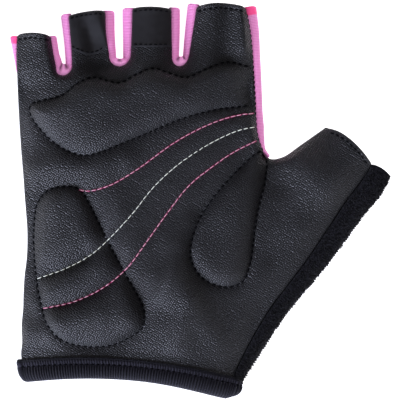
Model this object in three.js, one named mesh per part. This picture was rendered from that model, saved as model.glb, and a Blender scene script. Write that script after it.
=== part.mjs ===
// A fingerless cycling glove for the right hand, lying palm up on a flat surface.
// Millimetres. +Z is up, +Y runs from the wrist to the fingertips and +X points to the thumb side.
// The palm leather is the upper wall of a hollow glove, and a stretch back and a terry thumb are the
// lower wall. Pink gussets close the sides of the fingers, and a folded band goes round the wrist.
import * as THREE from 'three';

// Driving dimensions
const LEATHER = 1.5; // wall of the palm leather
const KNIT = 1.2; // wall of the stretch back
const TERRY = 2.0; // wall of the terry thumb
const GUSSET = 1.0; // wall of the finger gussets
const BAND = 1.0; // one ply of the wrist band
const TAB = 0.8; // wall of the finger pull tabs
const GAP = 0.4; // clearance between neighbouring pieces
const PAD_GAP = 0.9; // clearance under a pad, where two curved skins meet
const PAD_EDGE = 0.7; // thickness of a pad at its stitched edge

const CROWN = 6.2; // how far the upper wall rises from its seams to the middle of the palm
const CROWN_REACH = 12; // distance from a seam over which most of that rise happens
const EDGE_ROLL = 6; // width of the curled border of the lower wall
const FOLD_FADE = 4; // distance from a seam over which a fold dies out
const CUFF_FADE = 6; // distance from the wrist band over which folds and lift die out
const SEAM_STEP = 0.7; // length of the short pieces that seams are cut into
const SHARPEST_CORNER = 0.6; // cosine that limits how far the band's corners stand out
const GUSSET_TOP = 8.2; // highest point of a gusset
const GUSSET_FOOT = 1.2; // lowest point of a gusset
const ROLL_MIDDLE = 3.8; // height of the outermost line of the terry roll
const ROLL_TURN = [0.82, -0.57]; // way the terry roll bulges from the thumb seam

const CUFF = { peak: [-46, -61.4], curve: 0.00227, width: 9.8, hem: 8, above: 0.8 };
const CELLS = { little: 4, ring: 4, middle: 4, index: 5, slot: 3, thumb: 7, fingerRows: 5 };

// Height of the upper wall at its seams
const SEAM = { finger: 8.6, little: 8.2, heel: 6.0, crotch: 6.0, terry: 7.8 };
// Height of the lower wall at its seams, over a gusset and without one
const LIFT = { gusset: 0.9, plain: 2.8, terry: 2.0 };

// Rows across the hand from the wrist to the thumb crotch: the outer edge, the line down from the
// crotch, the thumb edge, how far the row bows up in the middle, and how far and which way the
// terry bulges.
const PALM_ROWS = [
  { left: [-69.8, -70.9], seam: [2.5, -74.7], edge: [11.0, -76.8], bow: 3.3, roll: 3.6, turn: [1, 0.1] },
  { left: [-71.8, -62.0], seam: [5.2, -66.6], edge: [13.9, -68.8], bow: 3.3, roll: 4.4 },
  { left: [-71.4, -56.5], seam: [7.8, -58.6], edge: [20.4, -55.7], bow: 2.4, roll: 6.2 },
  { left: [-71.6, -50.0], seam: [11.0, -50.0], edge: [28.0, -43.0], bow: 1.6, roll: 6.8 },
  { left: [-71.0, -42.8], seam: [14.4, -41.6], edge: [35.7, -32.8], bow: 1.0, roll: 7.2 },
  { left: [-70.8, -36.0], seam: [17.4, -34.4], edge: [43.4, -22.6], bow: 0.6, roll: 7.9 },
  { left: [-70.4, -29.6], seam: [19.6, -27.6], edge: [51.0, -11.2], bow: 0.3, roll: 8.8 },
  { left: [-69.6, -23.2], seam: [21.2, -20.8], edge: [58.7, 0.4], bow: 0, roll: 9.4 },
  { left: [-69.3, -16.8], seam: [22.2, -14.0], edge: [64.3, 7.8], bow: 0, roll: 9.8 },
  { left: [-69.4, -10.4], seam: [23.4, -7.2], edge: [68.9, 14.8], bow: 0, roll: 9.2 },
  { left: [-69.9, -4.0], seam: [24.6, -0.4], edge: [64.8, 19.2], bow: 0 },
  { left: [-70.4, 2.4], seam: [25.8, 6.0], edge: [60.2, 23.6], bow: 0 },
  { left: [-70.8, 8.4], seam: [26.6, 12.0], edge: [55.2, 26.7], bow: 0 },
  { left: [-71.3, 14.4], seam: [25.6, 19.0], edge: [50.2, 29.2], bow: 0 },
];
const CROTCH_ROW = PALM_ROWS.length - 1;
const THUMB_CORNER_ROW = 9; // the row that ends at the outer corner of the thumb opening
const CROTCH_LINE = [[25.6, 19.0], [28.2, 16.9], [33.2, 17.6], [40.8, 22.5], [50.2, 29.2]];

// Rows across the knuckles, from above the crotch to the webs of the fingers: the outer edge and the
// height of its seam, and the index side with how far its gusset bulges
const KNUCKLE_ROWS = [
  { left: [-71.9, 22.0], seam: [23.2, 26.0], side: 6.0, bulge: 3.7 },
  { left: [-72.4, 30.0], seam: [22.4, 34.0], side: 6.4, bulge: 4.1 },
  { left: [-72.8, 37.6], seam: [22.1, 42.0], side: 7.0, bulge: 4.1 },
  { left: [-73.1, 44.4], seam: [21.6, 50.0], side: 7.7, bulge: 4.1 },
];
const INDEX_GUSSET_END = [25.1, 20.4, 1.6];
const WEB_ROW = CROTCH_ROW + KNUCKLE_ROWS.length + 1;
const TIP_ROW = WEB_ROW + CELLS.fingerRows;

// Sides of the fingers, each from the web to the tip, with how far the gusset bulges from it
const SIDES = {
  littleOuter: [[-73.3, 51.6, 1.4], [-73.5, 59.0, 1.8], [-73.2, 66.6, 2.5]],
  littleInner: [[-57.6, 53.4, 2.2], [-58.7, 58.8, 2.2], [-59.8, 66.0, 2.2]],
  ringOuter: [[-51.0, 53.4, 2.8], [-51.2, 61.6, 2.7], [-52.2, 74.2, 3.2]],
  ringInner: [[-36.0, 58.4, 2.8], [-37.2, 67.2, 3.3], [-37.4, 76.1, 3.4]],
  middleOuter: [[-27.7, 58.4, 3.2], [-27.3, 67.6, 3.7], [-27.1, 77.2, 4.1]],
  middleInner: [[-11.2, 58.4, 2.8], [-11.4, 67.6, 3.3], [-11.4, 76.9, 3.4]],
  indexOuter: [[-4.3, 58.4, 2.6], [-3.0, 66.8, 3.2], [-1.3, 77.8, 3.8]],
  indexInner: [[21.1, 58.8, 4.0], [20.2, 67.6, 4.0], [18.4, 77.4, 3.9]],
};
const FINGERS = [
  { name: 'little', from: 'littleOuter', to: 'littleInner', arch: 0.9 },
  { name: 'ring', from: 'ringOuter', to: 'ringInner', arch: 0.7 },
  { name: 'middle', from: 'middleOuter', to: 'middleInner', arch: 0.6 },
  { name: 'index', from: 'indexOuter', to: 'indexInner', arch: 1.6 },
];
const SLOTS = [
  { name: 'little_ring_gusset', from: 'littleInner', to: 'ringOuter', bottom: 50.2, bulge: 2.6 },
  { name: 'ring_middle_gusset', from: 'ringInner', to: 'middleOuter', bottom: 53.9, bulge: 3.2 },
  { name: 'middle_index_gusset', from: 'middleInner', to: 'indexOuter', bottom: 53.9, bulge: 2.8 },
];

// Broad folds of the leather: a line, how wide the fold is and how far it rises or sinks
const FOLDS = [
  { from: [-24, -30], to: [-8, -42], width: 5, rise: 1.3 },
  { from: [-22, -51], to: [-8, -61], width: 5, rise: 1.1 },
  { from: [2, -28], to: [14, -54], width: 6, rise: -1.6 },
  { from: [8.6, 78], to: [3.4, 60], width: 3.5, rise: -1.2 },
  { from: [38, 12], to: [46, 2], width: 8, rise: 1.2 },
  { from: [29, 10], to: [31, -4], width: 4.5, rise: -0.7 },
  { from: [-64, 10], to: [-46, 11], width: 4.5, rise: 0.9 },
  { from: [-66, 22], to: [-58, 17], width: 5, rise: -0.9 },
  { from: [-70, 55], to: [-60, 51], width: 4.5, rise: 0.8 },
  { from: [-64, -54], to: [-58, -61], width: 3, rise: 0.7 },
];

// Padded areas. Each row is a section: one edge, the other edge and how high it is in the middle.
const PADS = {
  knuckle_pad: [
    { from: [-67.6, 38.2], to: [-67.6, 34.6], crown: 0.3 },
    { from: [-64.8, 39.8], to: [-64.8, 30.0], crown: 1.5 },
    { from: [-60.8, 40.8], to: [-60.8, 25.5], crown: 2.1 },
    { from: [-55.2, 42.1], to: [-55.2, 21.2], crown: 2.4 },
    { from: [-48.8, 47.0], to: [-50.0, 18.7], crown: 2.4 },
    { from: [-42.4, 49.4], to: [-44.8, 18.2], crown: 2.4 },
    { from: [-37.2, 48.1], to: [-38.4, 19.8], crown: 2.4 },
    { from: [-32.0, 47.2], to: [-32.8, 22.1], crown: 2.3 },
    { from: [-25.6, 50.4], to: [-26.8, 24.7], crown: 2.4 },
    { from: [-18.8, 52.9], to: [-20.0, 27.8], crown: 2.4 },
    { from: [-12.0, 51.0], to: [-13.2, 30.9], crown: 2.2 },
    { from: [-5.6, 49.3], to: [-6.4, 33.0], crown: 2.1 },
    { from: [2.0, 52.4], to: [1.6, 35.3], crown: 2.1 },
    { from: [10.4, 55.5], to: [10.0, 37.5], crown: 2.0 },
    { from: [16.8, 54.4], to: [16.8, 38.7], crown: 1.5 },
    { from: [20.6, 52.9], to: [21.0, 38.8], crown: 0.6 },
  ],
  heel_pad: [
    { from: [-57.5, 4.7], to: [-49.5, 4.7], crown: 0.3 },
    { from: [-63.0, 1.6], to: [-45.2, 1.6], crown: 1.7 },
    { from: [-66.0, -6.0], to: [-41.6, -5.6], crown: 2.4 },
    { from: [-66.7, -15.0], to: [-39.6, -10.0], crown: 2.4 },
    { from: [-66.4, -25.0], to: [-38.0, -13.6], crown: 2.0 },
    { from: [-65.6, -31.2], to: [-37.2, -15.6], crown: 0.8 },
    { from: [-64.8, -36.0], to: [-34.8, -20.0], crown: 2.0 },
    { from: [-63.8, -40.0], to: [-32.6, -24.6], crown: 2.0 },
    { from: [-62.9, -43.4], to: [-31.0, -28.2], crown: 0.8 },
    { from: [-61.8, -47.0], to: [-27.4, -33.6], crown: 2.1 },
    { from: [-59.4, -51.0], to: [-23.4, -40.6], crown: 2.5 },
    { from: [-55.6, -55.0], to: [-22.4, -47.4], crown: 2.2 },
    { from: [-51.4, -57.0], to: [-26.4, -53.4], crown: 1.4 },
    { from: [-47.0, -58.0], to: [-39.0, -57.8], crown: 0.3 },
  ],
  thumb_pad: [
    { from: [21.6, 18.2], to: [24.2, 16.8], crown: 0.3 },
    { from: [17.2, 14.4], to: [26.0, 11.4], crown: 1.3 },
    { from: [10.4, 6.4], to: [25.2, 4.4], crown: 2.0 },
    { from: [4.4, 0.0], to: [23.8, -2.0], crown: 2.3 },
    { from: [-0.4, -7.6], to: [22.4, -8.4], crown: 2.4 },
    { from: [-3.2, -15.6], to: [21.2, -15.6], crown: 2.4 },
    { from: [-3.2, -22.8], to: [20.2, -22.8], crown: 2.2 },
    { from: [-0.8, -28.0], to: [19.2, -27.6], crown: 1.8 },
    { from: [3.2, -31.8], to: [17.2, -32.0], crown: 1.1 },
    { from: [6.8, -33.5], to: [12.4, -34.1], crown: 0.3 },
  ],
};
const PAD_CELLS = 8;

// Pull tabs across two fingers: how far up the finger each lower corner and the top edge are, from
// web 0 to tip 1, and how far the lower edge sags between its corners
const TABS = [
  { name: 'ring_pull_tab', finger: 1, lower: [0.34, 0.16], sag: 2.0, top: 0.97 },
  { name: 'middle_pull_tab', finger: 2, lower: [0.18, 0.18], sag: 0.3, top: 0.97 },
];
const TAB_CELLS = 5;
const TAB_INSET = 0.03; // share of the finger's width left bare at each side of a tab

const lerp = THREE.MathUtils.lerp;
const mix = (a, b, t) => a.map((value, i) => lerp(value, b[i], t));

// A smooth curve through listed points; t runs from 0 to 1
function curve(points) {
  const spline = new THREE.CatmullRomCurve3(points.map(p => new THREE.Vector3(p[0], p[1], p[2] ?? 0)));
  return t => spline.getPoint(t).toArray();
}
const side = Object.fromEntries(Object.entries(SIDES).map(([name, points]) => [name, curve(points)]));
const crotchLine = curve(CROTCH_LINE);

// Columns of the pattern, little finger to thumb: each band of columns is a finger, a slot or the thumb
const bands = FINGERS.flatMap((finger, i) => [
  { finger, cells: CELLS[finger.name] },
  i < SLOTS.length ? { slot: SLOTS[i], cells: CELLS.slot } : { cells: CELLS.thumb },
]);
let columnCount = 0;
for (const band of bands) {
  band.start = columnCount;
  columnCount += band.cells;
}
const SEAM_COLUMN = columnCount - CELLS.thumb;
const bandOf = column => bands.findLast(band => column >= band.start);
const fingerBand = column => bands.find(({ finger, start, cells }) =>
  finger && column >= start && column <= start + cells);

// The row of points through the webs, where the slots dip into the palm as half ellipses
function webPoint(column) {
  const band = bandOf(Math.min(column, SEAM_COLUMN - 1));
  const s = (column - band.start) / band.cells;
  const { from, to, bottom } = band.finger ?? band.slot;
  const [a, b] = [side[from](0), side[to](0)];
  if (band.finger) return mix(a, b, s).slice(0, 2);
  const angle = Math.PI * s;
  const shoulder = lerp(a[1], b[1], s);
  return [lerp(a[0], b[0], (1 - Math.cos(angle)) / 2), shoulder - (shoulder - bottom) * Math.sin(angle)];
}
const webLeft = SIDES.littleOuter[0][0];
const webWidth = SIDES.indexInner[0][0] - webLeft;

// A line across the hand that bows up in the middle; s runs from its start to its end
function bowed(a, b, s, bow) {
  const [x, y] = mix(a, b, s);
  return [x, y + 4 * bow * s * (1 - s)];
}

function fingerPoint(finger, s, t) {
  return bowed(side[finger.from](t), side[finger.to](t), s, finger.arch * t * t);
}

// Plan position of a point of the pattern
function plan(row, column) {
  if (row > WEB_ROW) {
    const { finger, start, cells } = fingerBand(column);
    return fingerPoint(finger, (column - start) / cells, (row - WEB_ROW) / CELLS.fingerRows);
  }
  if (row === WEB_ROW) return webPoint(column);
  if (column > SEAM_COLUMN) {
    const s = (column - SEAM_COLUMN) / CELLS.thumb;
    if (row === CROTCH_ROW) return crotchLine(s).slice(0, 2);
    return mix(PALM_ROWS[row].seam, PALM_ROWS[row].edge, s);
  }
  const { left, seam, bow = 0 } = PALM_ROWS[row] ?? KNUCKLE_ROWS[row - PALM_ROWS.length];
  return bowed(left, seam, (webPoint(column)[0] - webLeft) / webWidth, bow);
}

const inHand = (row, column) => column < SEAM_COLUMN && (row < WEB_ROW || Boolean(bandOf(column).finger));
const inThumb = (row, column) => column >= SEAM_COLUMN && row < CROTCH_ROW;

// Seams cut into short pieces, with the heights of the upper and the lower wall there. The lower
// wall runs on flat under the terry roll, so the terry seam counts for the upper wall only.
function seamPieces(includeTerry) {
  const pieces = [];
  const add = (a, b, top, low) => {
    const length = Math.hypot(b[0] - a[0], b[1] - a[1]);
    const count = Math.ceil(length / SEAM_STEP);
    for (let i = 0; i < count; i++) {
      const [x, y] = mix(a, b, (i + 0.5) / count);
      pieces.push({ x, y, weight: length / count, top, low });
    }
  };
  const run = (count, point, top, low) => {
    for (let i = 0; i < count; i++) add(point(i), point(i + 1), top, low);
  };
  for (let row = 0; row < WEB_ROW; row++) {
    const knuckle = KNUCKLE_ROWS[row - CROTCH_ROW - 1];
    add(plan(row, 0), plan(row + 1, 0), knuckle?.side ?? SEAM.heel, LIFT.plain);
    if (row >= CROTCH_ROW) {
      add(plan(row, SEAM_COLUMN), plan(row + 1, SEAM_COLUMN), SEAM.finger, LIFT.gusset);
    }
  }
  for (const { name, from, to } of FINGERS) {
    const cells = CELLS.fingerRows;
    run(cells, i => side[from](i / cells), name === 'little' ? SEAM.little : SEAM.finger, LIFT.gusset);
    run(cells, i => side[to](i / cells), SEAM.finger, LIFT.gusset);
  }
  for (const { slot, start, cells } of bands) {
    if (slot) run(cells, i => webPoint(start + i), SEAM.finger, LIFT.gusset);
  }
  run(CELLS.thumb, i => plan(CROTCH_ROW, SEAM_COLUMN + i), SEAM.crotch, LIFT.terry);
  if (includeTerry) run(THUMB_CORNER_ROW, i => PALM_ROWS[i].edge, SEAM.terry, 0);
  return pieces;
}
const upperSeams = seamPieces(true);
const lowerSeams = seamPieces(false);

// Rounded distance from the seams, without ridges, and the seam heights blended the same way
function fromSeams(x, y, pieces) {
  let total = 0;
  let top = 0;
  let low = 0;
  for (const piece of pieces) {
    const pull = piece.weight / (Math.hypot(x - piece.x, y - piece.y) ** 3 + 1e-6);
    total += pull;
    top += pull * piece.top;
    low += pull * piece.low;
  }
  return { distance: Math.sqrt(2 / total), top: top / total, low: low / total };
}

function distanceToLine(x, y, a, b) {
  const [dx, dy] = [b[0] - a[0], b[1] - a[1]];
  const t = THREE.MathUtils.clamp(((x - a[0]) * dx + (y - a[1]) * dy) / (dx * dx + dy * dy), 0, 1);
  return Math.hypot(x - a[0] - t * dx, y - a[1] - t * dy);
}

// The front edge of the wrist band, and a factor that grows from 0 there to 1 clear of it
const cuffTop = x => CUFF.peak[1] - CUFF.curve * (x - CUFF.peak[0]) ** 2;
const fromCuff = (x, y) => THREE.MathUtils.smoothstep(y - cuffTop(x), CUFF.above + 0.1, CUFF_FADE);

// Outer skin of the palm leather: folds fade out at the seams and under the wrist band
function palmHeight(x, y) {
  const { distance, top } = fromSeams(x, y, upperSeams);
  const crown = CROWN * (1 - Math.exp(-distance / CROWN_REACH));
  let folds = 0;
  for (const { from, to, width, rise } of FOLDS) {
    folds += rise * Math.exp(-((distanceToLine(x, y, from, to) / width) ** 2));
  }
  return top + crown + folds * Math.min(1, distance / FOLD_FADE) * fromCuff(x, y);
}

// Outer skin of the lower wall: flat where it lies on the surface, curled up along its seams and
// lifted at the wrist by the ply of the band that runs under it
function backHeight(x, y) {
  const { distance, low } = fromSeams(x, y, lowerSeams);
  const curl = Math.max(0, 1 - distance / EDGE_ROLL);
  const lift = (BAND + GAP) * (1 - fromCuff(x, y));
  return Math.max(low * curl * curl, lift);
}

// A closed wall over a grid of cells: outer and inner skins, joined round every free edge. A looped
// grid joins its last column to its first.
function wall(name, look, { rows, columns, has = () => true, outer, inner, loop = false }) {
  const positions = [];
  const ids = new Map();
  const wrap = column => (loop ? (column + columns) % columns : column);
  const vertex = (row, column, skin) => {
    const key = `${row},${wrap(column)},${skin}`;
    if (!ids.has(key)) {
      ids.set(key, positions.length / 3);
      positions.push(...(skin === 'outer' ? outer : inner)(row, wrap(column)));
    }
    return ids.get(key);
  };
  const filled = (row, column) => row >= 0 && row < rows
    && wrap(column) >= 0 && wrap(column) < columns && has(row, wrap(column));
  const triangles = [];
  const quad = (a, b, c, d) => triangles.push(a, b, c, a, c, d);
  for (let row = 0; row < rows; row++) {
    for (let column = 0; column < columns; column++) {
      if (!filled(row, column)) continue;
      const corners = [[row, column], [row, column + 1], [row + 1, column + 1], [row + 1, column]];
      const [a, b, c, d] = corners.map(([i, j]) => vertex(i, j, 'outer'));
      const [e, f, g, h] = corners.map(([i, j]) => vertex(i, j, 'inner'));
      quad(a, b, c, d);
      quad(e, h, g, f);
      if (!filled(row - 1, column)) quad(a, e, f, b);
      if (!filled(row, column + 1)) quad(b, f, g, c);
      if (!filled(row + 1, column)) quad(c, g, h, d);
      if (!filled(row, column - 1)) quad(d, h, e, a);
    }
  }
  const geometry = new THREE.BufferGeometry();
  geometry.setAttribute('position', new THREE.Float32BufferAttribute(positions, 3));
  geometry.setIndex(triangles);
  if (signedVolume(geometry) < 0) geometry.setIndex(triangles.reverse());
  geometry.computeVertexNormals();
  const mesh = new THREE.Mesh(geometry, look);
  mesh.name = name;
  return mesh;
}

function signedVolume(geometry) {
  const { index, attributes: { position } } = geometry;
  const corner = i => new THREE.Vector3().fromBufferAttribute(position, index.getX(i));
  let volume = 0;
  for (let i = 0; i < index.count; i += 3) {
    volume += corner(i).dot(corner(i + 1).cross(corner(i + 2))) / 6;
  }
  return volume;
}

const looks = {
  leather: new THREE.MeshStandardMaterial({ color: 0x2b2b2e, roughness: 0.6, metalness: 0 }),
  knit: new THREE.MeshStandardMaterial({ color: 0x1d1d20, roughness: 0.9, metalness: 0 }),
  terry: new THREE.MeshStandardMaterial({ color: 0x141317, roughness: 1, metalness: 0 }),
  pink: new THREE.MeshStandardMaterial({ color: 0xe88acb, roughness: 0.8, metalness: 0 }),
  band: new THREE.MeshStandardMaterial({ color: 0x17161e, roughness: 0.95, metalness: 0 }),
  tab: new THREE.MeshStandardMaterial({ color: 0x232226, roughness: 0.7, metalness: 0 }),
};

function palmPoint(row, column, drop) {
  const [x, y] = plan(row, column);
  return [x, y, palmHeight(x, y) - drop];
}

function palmPanel() {
  const skin = drop => (row, column) => palmPoint(row, column, drop);
  const has = (row, column) => inHand(row, column) || inThumb(row, column);
  return wall('palm_panel', looks.leather,
    { rows: TIP_ROW, columns: columnCount, has, outer: skin(0), inner: skin(LEATHER) });
}

function backPoint(row, column, rise) {
  const [x, y] = plan(row, column);
  return [x, y, backHeight(x, y) + rise];
}

function backPanel() {
  const skin = rise => (row, column) => {
    const [x, y, z] = backPoint(row, column, rise);
    return [column === SEAM_COLUMN && row <= CROTCH_ROW ? x - GAP : x, y, z];
  };
  return wall('back_panel', looks.knit,
    { rows: TIP_ROW, columns: SEAM_COLUMN, has: inHand, outer: skin(0), inner: skin(KNIT) });
}

// The terry lies flat under the thumb, then rolls up round its outer side to meet the leather
const TERRY_ROLL_CELLS = 5;
function terryPoint(row, column, depth) {
  if (column <= CELLS.thumb) return backPoint(row, SEAM_COLUMN + column, depth);
  const { edge, roll, turn = ROLL_TURN } = PALM_ROWS[row];
  const angle = Math.PI * ((column - CELLS.thumb) / TERRY_ROLL_CELLS - 0.5);
  const reach = GAP + (roll - GAP - depth) * Math.cos(angle);
  const base = backHeight(...edge) / 2;
  const height = ROLL_MIDDLE + base + (ROLL_MIDDLE - base - depth) * Math.sin(angle);
  return [edge[0] + turn[0] * reach, edge[1] + turn[1] * reach, height];
}

function terryThumb() {
  const skin = depth => (row, column) => terryPoint(row, column, depth);
  const has = (row, column) => column < CELLS.thumb || row < THUMB_CORNER_ROW;
  return wall('terry_thumb', looks.terry,
    { rows: CROTCH_ROW, columns: CELLS.thumb + TERRY_ROLL_CELLS, has, outer: skin(0), inner: skin(TERRY) });
}

// A gusset is a C-shaped strip that bulges from the edges of the two walls. Its path in plan has
// the hand on its right.
const GUSSET_CELLS = 6;
function gusset(name, path) {
  const normal = i => {
    const [a, b] = [path[Math.max(i - 1, 0)], path[Math.min(i + 1, path.length - 1)]];
    const length = Math.hypot(b[0] - a[0], b[1] - a[1]);
    return [(a[1] - b[1]) / length, (b[0] - a[0]) / length];
  };
  const middle = (GUSSET_TOP + GUSSET_FOOT) / 2;
  const half = (GUSSET_TOP - GUSSET_FOOT) / 2;
  const skin = depth => (row, column) => {
    const [x, y, bulge] = path[row];
    const [nx, ny] = normal(row);
    const angle = Math.PI * (0.5 - column / GUSSET_CELLS);
    const reach = GAP + Math.max(bulge - GAP - depth, 0.1) * Math.cos(angle);
    return [x + nx * reach, y + ny * reach, middle + (half - depth) * Math.sin(angle)];
  };
  return wall(name, looks.pink,
    { rows: path.length - 1, columns: GUSSET_CELLS, outer: skin(0), inner: skin(GUSSET) });
}

const fingerSteps = [...Array(CELLS.fingerRows + 1).keys()].map(i => i / CELLS.fingerRows);

function slotGusset({ slot, start, cells }) {
  const down = fingerSteps.map(t => side[slot.from](1 - t));
  const up = fingerSteps.map(t => side[slot.to](t));
  const web = [...Array(cells - 1).keys()].map(i => [...webPoint(start + i + 1), slot.bulge]);
  return gusset(slot.name, [...down, ...web, ...up]);
}

function indexGusset() {
  const finger = fingerSteps.map(t => side.indexInner(1 - t));
  const knuckles = KNUCKLE_ROWS.map(({ seam, bulge }) => [...seam, bulge]).reverse();
  return gusset('index_side_gusset', [...finger, ...knuckles, INDEX_GUSSET_END]);
}

function littleGusset() {
  return gusset('little_side_gusset', fingerSteps.map(t => side.littleOuter(t)));
}

// A pad lies on the leather: a thin edge all round and a crown across each of its sections
function pad(name, sections) {
  const skin = top => (row, column) => {
    const { from, to, crown } = sections[row];
    const s = column / PAD_CELLS;
    const [x, y] = mix(from, to, s);
    const base = palmHeight(x, y) + PAD_GAP;
    return [x, y, top ? base + PAD_EDGE + crown * (1 - Math.abs(2 * s - 1) ** 2.5) : base];
  };
  return wall(name, looks.leather,
    { rows: sections.length - 1, columns: PAD_CELLS, outer: skin(true), inner: skin(false) });
}

function pullTab({ name, finger, lower, sag, top }) {
  const skin = rise => (row, column) => {
    const s = lerp(TAB_INSET, 1 - TAB_INSET, column / TAB_CELLS);
    const up = row / TAB_CELLS;
    const [x, y] = fingerPoint(FINGERS[finger], s, lerp(lerp(...lower, s), top, up));
    const drop = 4 * sag * s * (1 - s) * (1 - up);
    return [x, y - drop, palmHeight(x, y - drop) + PAD_GAP + rise];
  };
  return wall(name, looks.tab, { rows: TAB_CELLS, columns: TAB_CELLS, outer: skin(TAB), inner: skin(0) });
}

// The outline of the wrist opening at a depth behind the band's front edge, outside both walls
const wristLine = [];
for (let column = 0; column <= columnCount; column++) {
  wristLine.push(row => palmPoint(row, column, 0));
}
for (let cell = TERRY_ROLL_CELLS; cell > 0; cell--) {
  wristLine.push(row => terryPoint(row, CELLS.thumb + cell, 0));
}
for (let column = columnCount; column >= 0; column--) {
  wristLine.push(row => backPoint(row, column, 0));
}
const wristRim = depth => wristLine.map(point =>
  mix(point(1), point(0), (depth + CUFF.above) / (CUFF.hem + CUFF.above)));

// The same outline moved out from the walls, or in past them when the distance is negative
function wristLayer(depth, distance) {
  const points = wristRim(depth);
  return points.map((here, i) => {
    const before = points.at(i - 1);
    const after = points[(i + 1) % points.length];
    const a = new THREE.Vector2(before[2] - here[2], here[0] - before[0]).normalize();
    const b = new THREE.Vector2(here[2] - after[2], after[0] - here[0]).normalize();
    const corner = a.clone().add(b).normalize();
    corner.multiplyScalar(distance / Math.max(corner.dot(a), SHARPEST_CORNER));
    return [here[0] + corner.x, here[1], here[2] + corner.y];
  });
}

// The band goes round the wrist opening outside both walls and turns in over their ends
function wristBand() {
  const { width } = CUFF;
  const outside = [wristLayer(0, GAP + BAND), wristLayer(width, GAP + BAND), wristLayer(width, -LEATHER)];
  const inner = wristLayer(width - BAND, -LEATHER);
  const inside = [wristLayer(0, GAP), wristLayer(width - BAND, GAP), inner];
  return wall('wrist_band', looks.band, {
    rows: 2,
    columns: wristLine.length,
    loop: true,
    outer: (row, column) => outside[row][column],
    inner: (row, column) => inside[row][column],
  });
}

const glove = new THREE.Group();
glove.add(palmPanel(), backPanel(), terryThumb(), indexGusset(), littleGusset(), wristBand());
bands.filter(band => band.slot).forEach(band => glove.add(slotGusset(band)));
for (const [name, sections] of Object.entries(PADS)) glove.add(pad(name, sections));
TABS.forEach(tab => glove.add(pullTab(tab)));

// The measured outline is not quite centred, so the finished glove is moved over the origin
const extent = new THREE.Box3().setFromObject(glove);
const centre = extent.getCenter(new THREE.Vector3());
glove.position.set(-centre.x, -centre.y, -extent.min.z);

export default glove;
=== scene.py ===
import math

import bpy
import numpy as np
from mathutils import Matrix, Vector
from mathutils.geometry import delaunay_2d_cdt
from mathutils.kdtree import KDTree


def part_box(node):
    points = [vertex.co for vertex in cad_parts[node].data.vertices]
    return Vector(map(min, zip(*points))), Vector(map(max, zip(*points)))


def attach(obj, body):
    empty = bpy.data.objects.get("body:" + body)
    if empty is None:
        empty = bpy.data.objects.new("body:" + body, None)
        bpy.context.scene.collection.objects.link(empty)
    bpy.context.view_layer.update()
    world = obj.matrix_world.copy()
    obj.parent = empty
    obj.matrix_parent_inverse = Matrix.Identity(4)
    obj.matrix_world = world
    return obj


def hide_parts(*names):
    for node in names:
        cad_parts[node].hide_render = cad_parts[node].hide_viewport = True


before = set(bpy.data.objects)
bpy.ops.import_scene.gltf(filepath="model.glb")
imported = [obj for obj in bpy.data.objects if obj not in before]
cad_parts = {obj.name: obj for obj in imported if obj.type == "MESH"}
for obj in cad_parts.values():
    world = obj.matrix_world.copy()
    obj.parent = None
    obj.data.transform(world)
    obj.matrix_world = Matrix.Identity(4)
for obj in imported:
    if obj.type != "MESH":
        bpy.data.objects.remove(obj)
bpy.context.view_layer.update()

MM = 0.001
EDGE_X, EDGE_Y = 68.9, -76.8  # highest x and lowest y of the palm leather in the plan
low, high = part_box("palm_panel")
SHIFT = np.array([high[0] / MM - EDGE_X, low[1] / MM - EDGE_Y, 0.0])

LEATHER, KNIT, TERRY, GUSSET, BAND = 1.5, 1.2, 2.0, 1.0, 1.0  # thicknesses
GAP = 0.4  # clear distance between two walls
CROWN, CROWN_REACH = 6.2, 12.0  # how far the palm rises over its seams, and how soon
EDGE_ROLL = 6.0  # width of the back's curled edge
FOLD_FADE, CUFF_FADE = 2.2, 6.0  # how far from the seams and from the cuff the folds fade in
# The cuff's front edge: where it is highest, and its curve; then how far in front of that edge
# row 1 of the pattern is, and how far behind it the walls end, at row 0
CUFF_PEAK, CUFF_CURVE, CUFF_ABOVE, CUFF_HEM = (-46, -61.4), 0.00227, 0.8, 8
ROLL_MIDDLE = 3.8  # height of the middle of the terry's roll
ROLL_TURN, WRIST_TURN = (0.82, -0.57), (1.0, 0.1)  # which way the roll bulges
# Heights of the seams of the palm and of the back
TOP_SEAM = {"finger": 8.6, "web": 9.3, "little": 8.2, "heel": 6.0, "crotch": 6.0, "terry": 7.8}
LOW_SEAM = {"gusset": 0.9, "plain": 2.8, "terry": 2.0}
LEFT_SEAM = [6.0, 6.0, 6.2, 6.7, 7.35, 7.9]  # from the crotch's height to the little finger

# Rows from the wrist to the thumb crotch: x and y of the outer edge, of the seam below the crotch
# and of the thumb edge, the bow of the row and the bulge of the terry
PALM_ROWS = [
    (-69.8, -70.9, 2.5, -74.7, 11, -76.8, 3.3, 3.6),
    (-71.8, -62, 5.2, -66.6, 13.9, -68.8, 3.3, 4.4),
    (-71.4, -56.5, 7.8, -58.6, 20.4, -55.7, 2.4, 6.2),
    (-71.6, -50, 11, -50, 28, -43, 1.6, 6.8),
    (-71, -42.8, 14.4, -41.6, 35.7, -32.8, 1, 7.2),
    (-70.8, -36, 17.4, -34.4, 43.4, -22.6, 0.6, 7.9),
    (-70.4, -29.6, 19.6, -27.6, 51, -11.2, 0.3, 8.8),
    (-69.6, -23.2, 21.2, -20.8, 58.7, 0.4, 0, 9.4),
    (-69.3, -16.8, 22.2, -14, 64.3, 7.8, 0, 9.8),
    (-69.4, -10.4, 23.4, -7.2, 68.9, 14.8, 0, 9.2),
    (-69.9, -4, 24.6, -0.4, 65.1, 19.7, 0, 0),
    (-70.4, 2.4, 25.8, 6, 60.7, 24.2, 0, 0),
    (-70.8, 8.4, 26.6, 12, 55.8, 27.7, 0, 0),
    (-71.3, 14.4, 25.6, 19, 50.6, 29.6, 0, 0),
]
MOUTH_ROW = 9  # the row at the outer corner of the thumb opening
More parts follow.
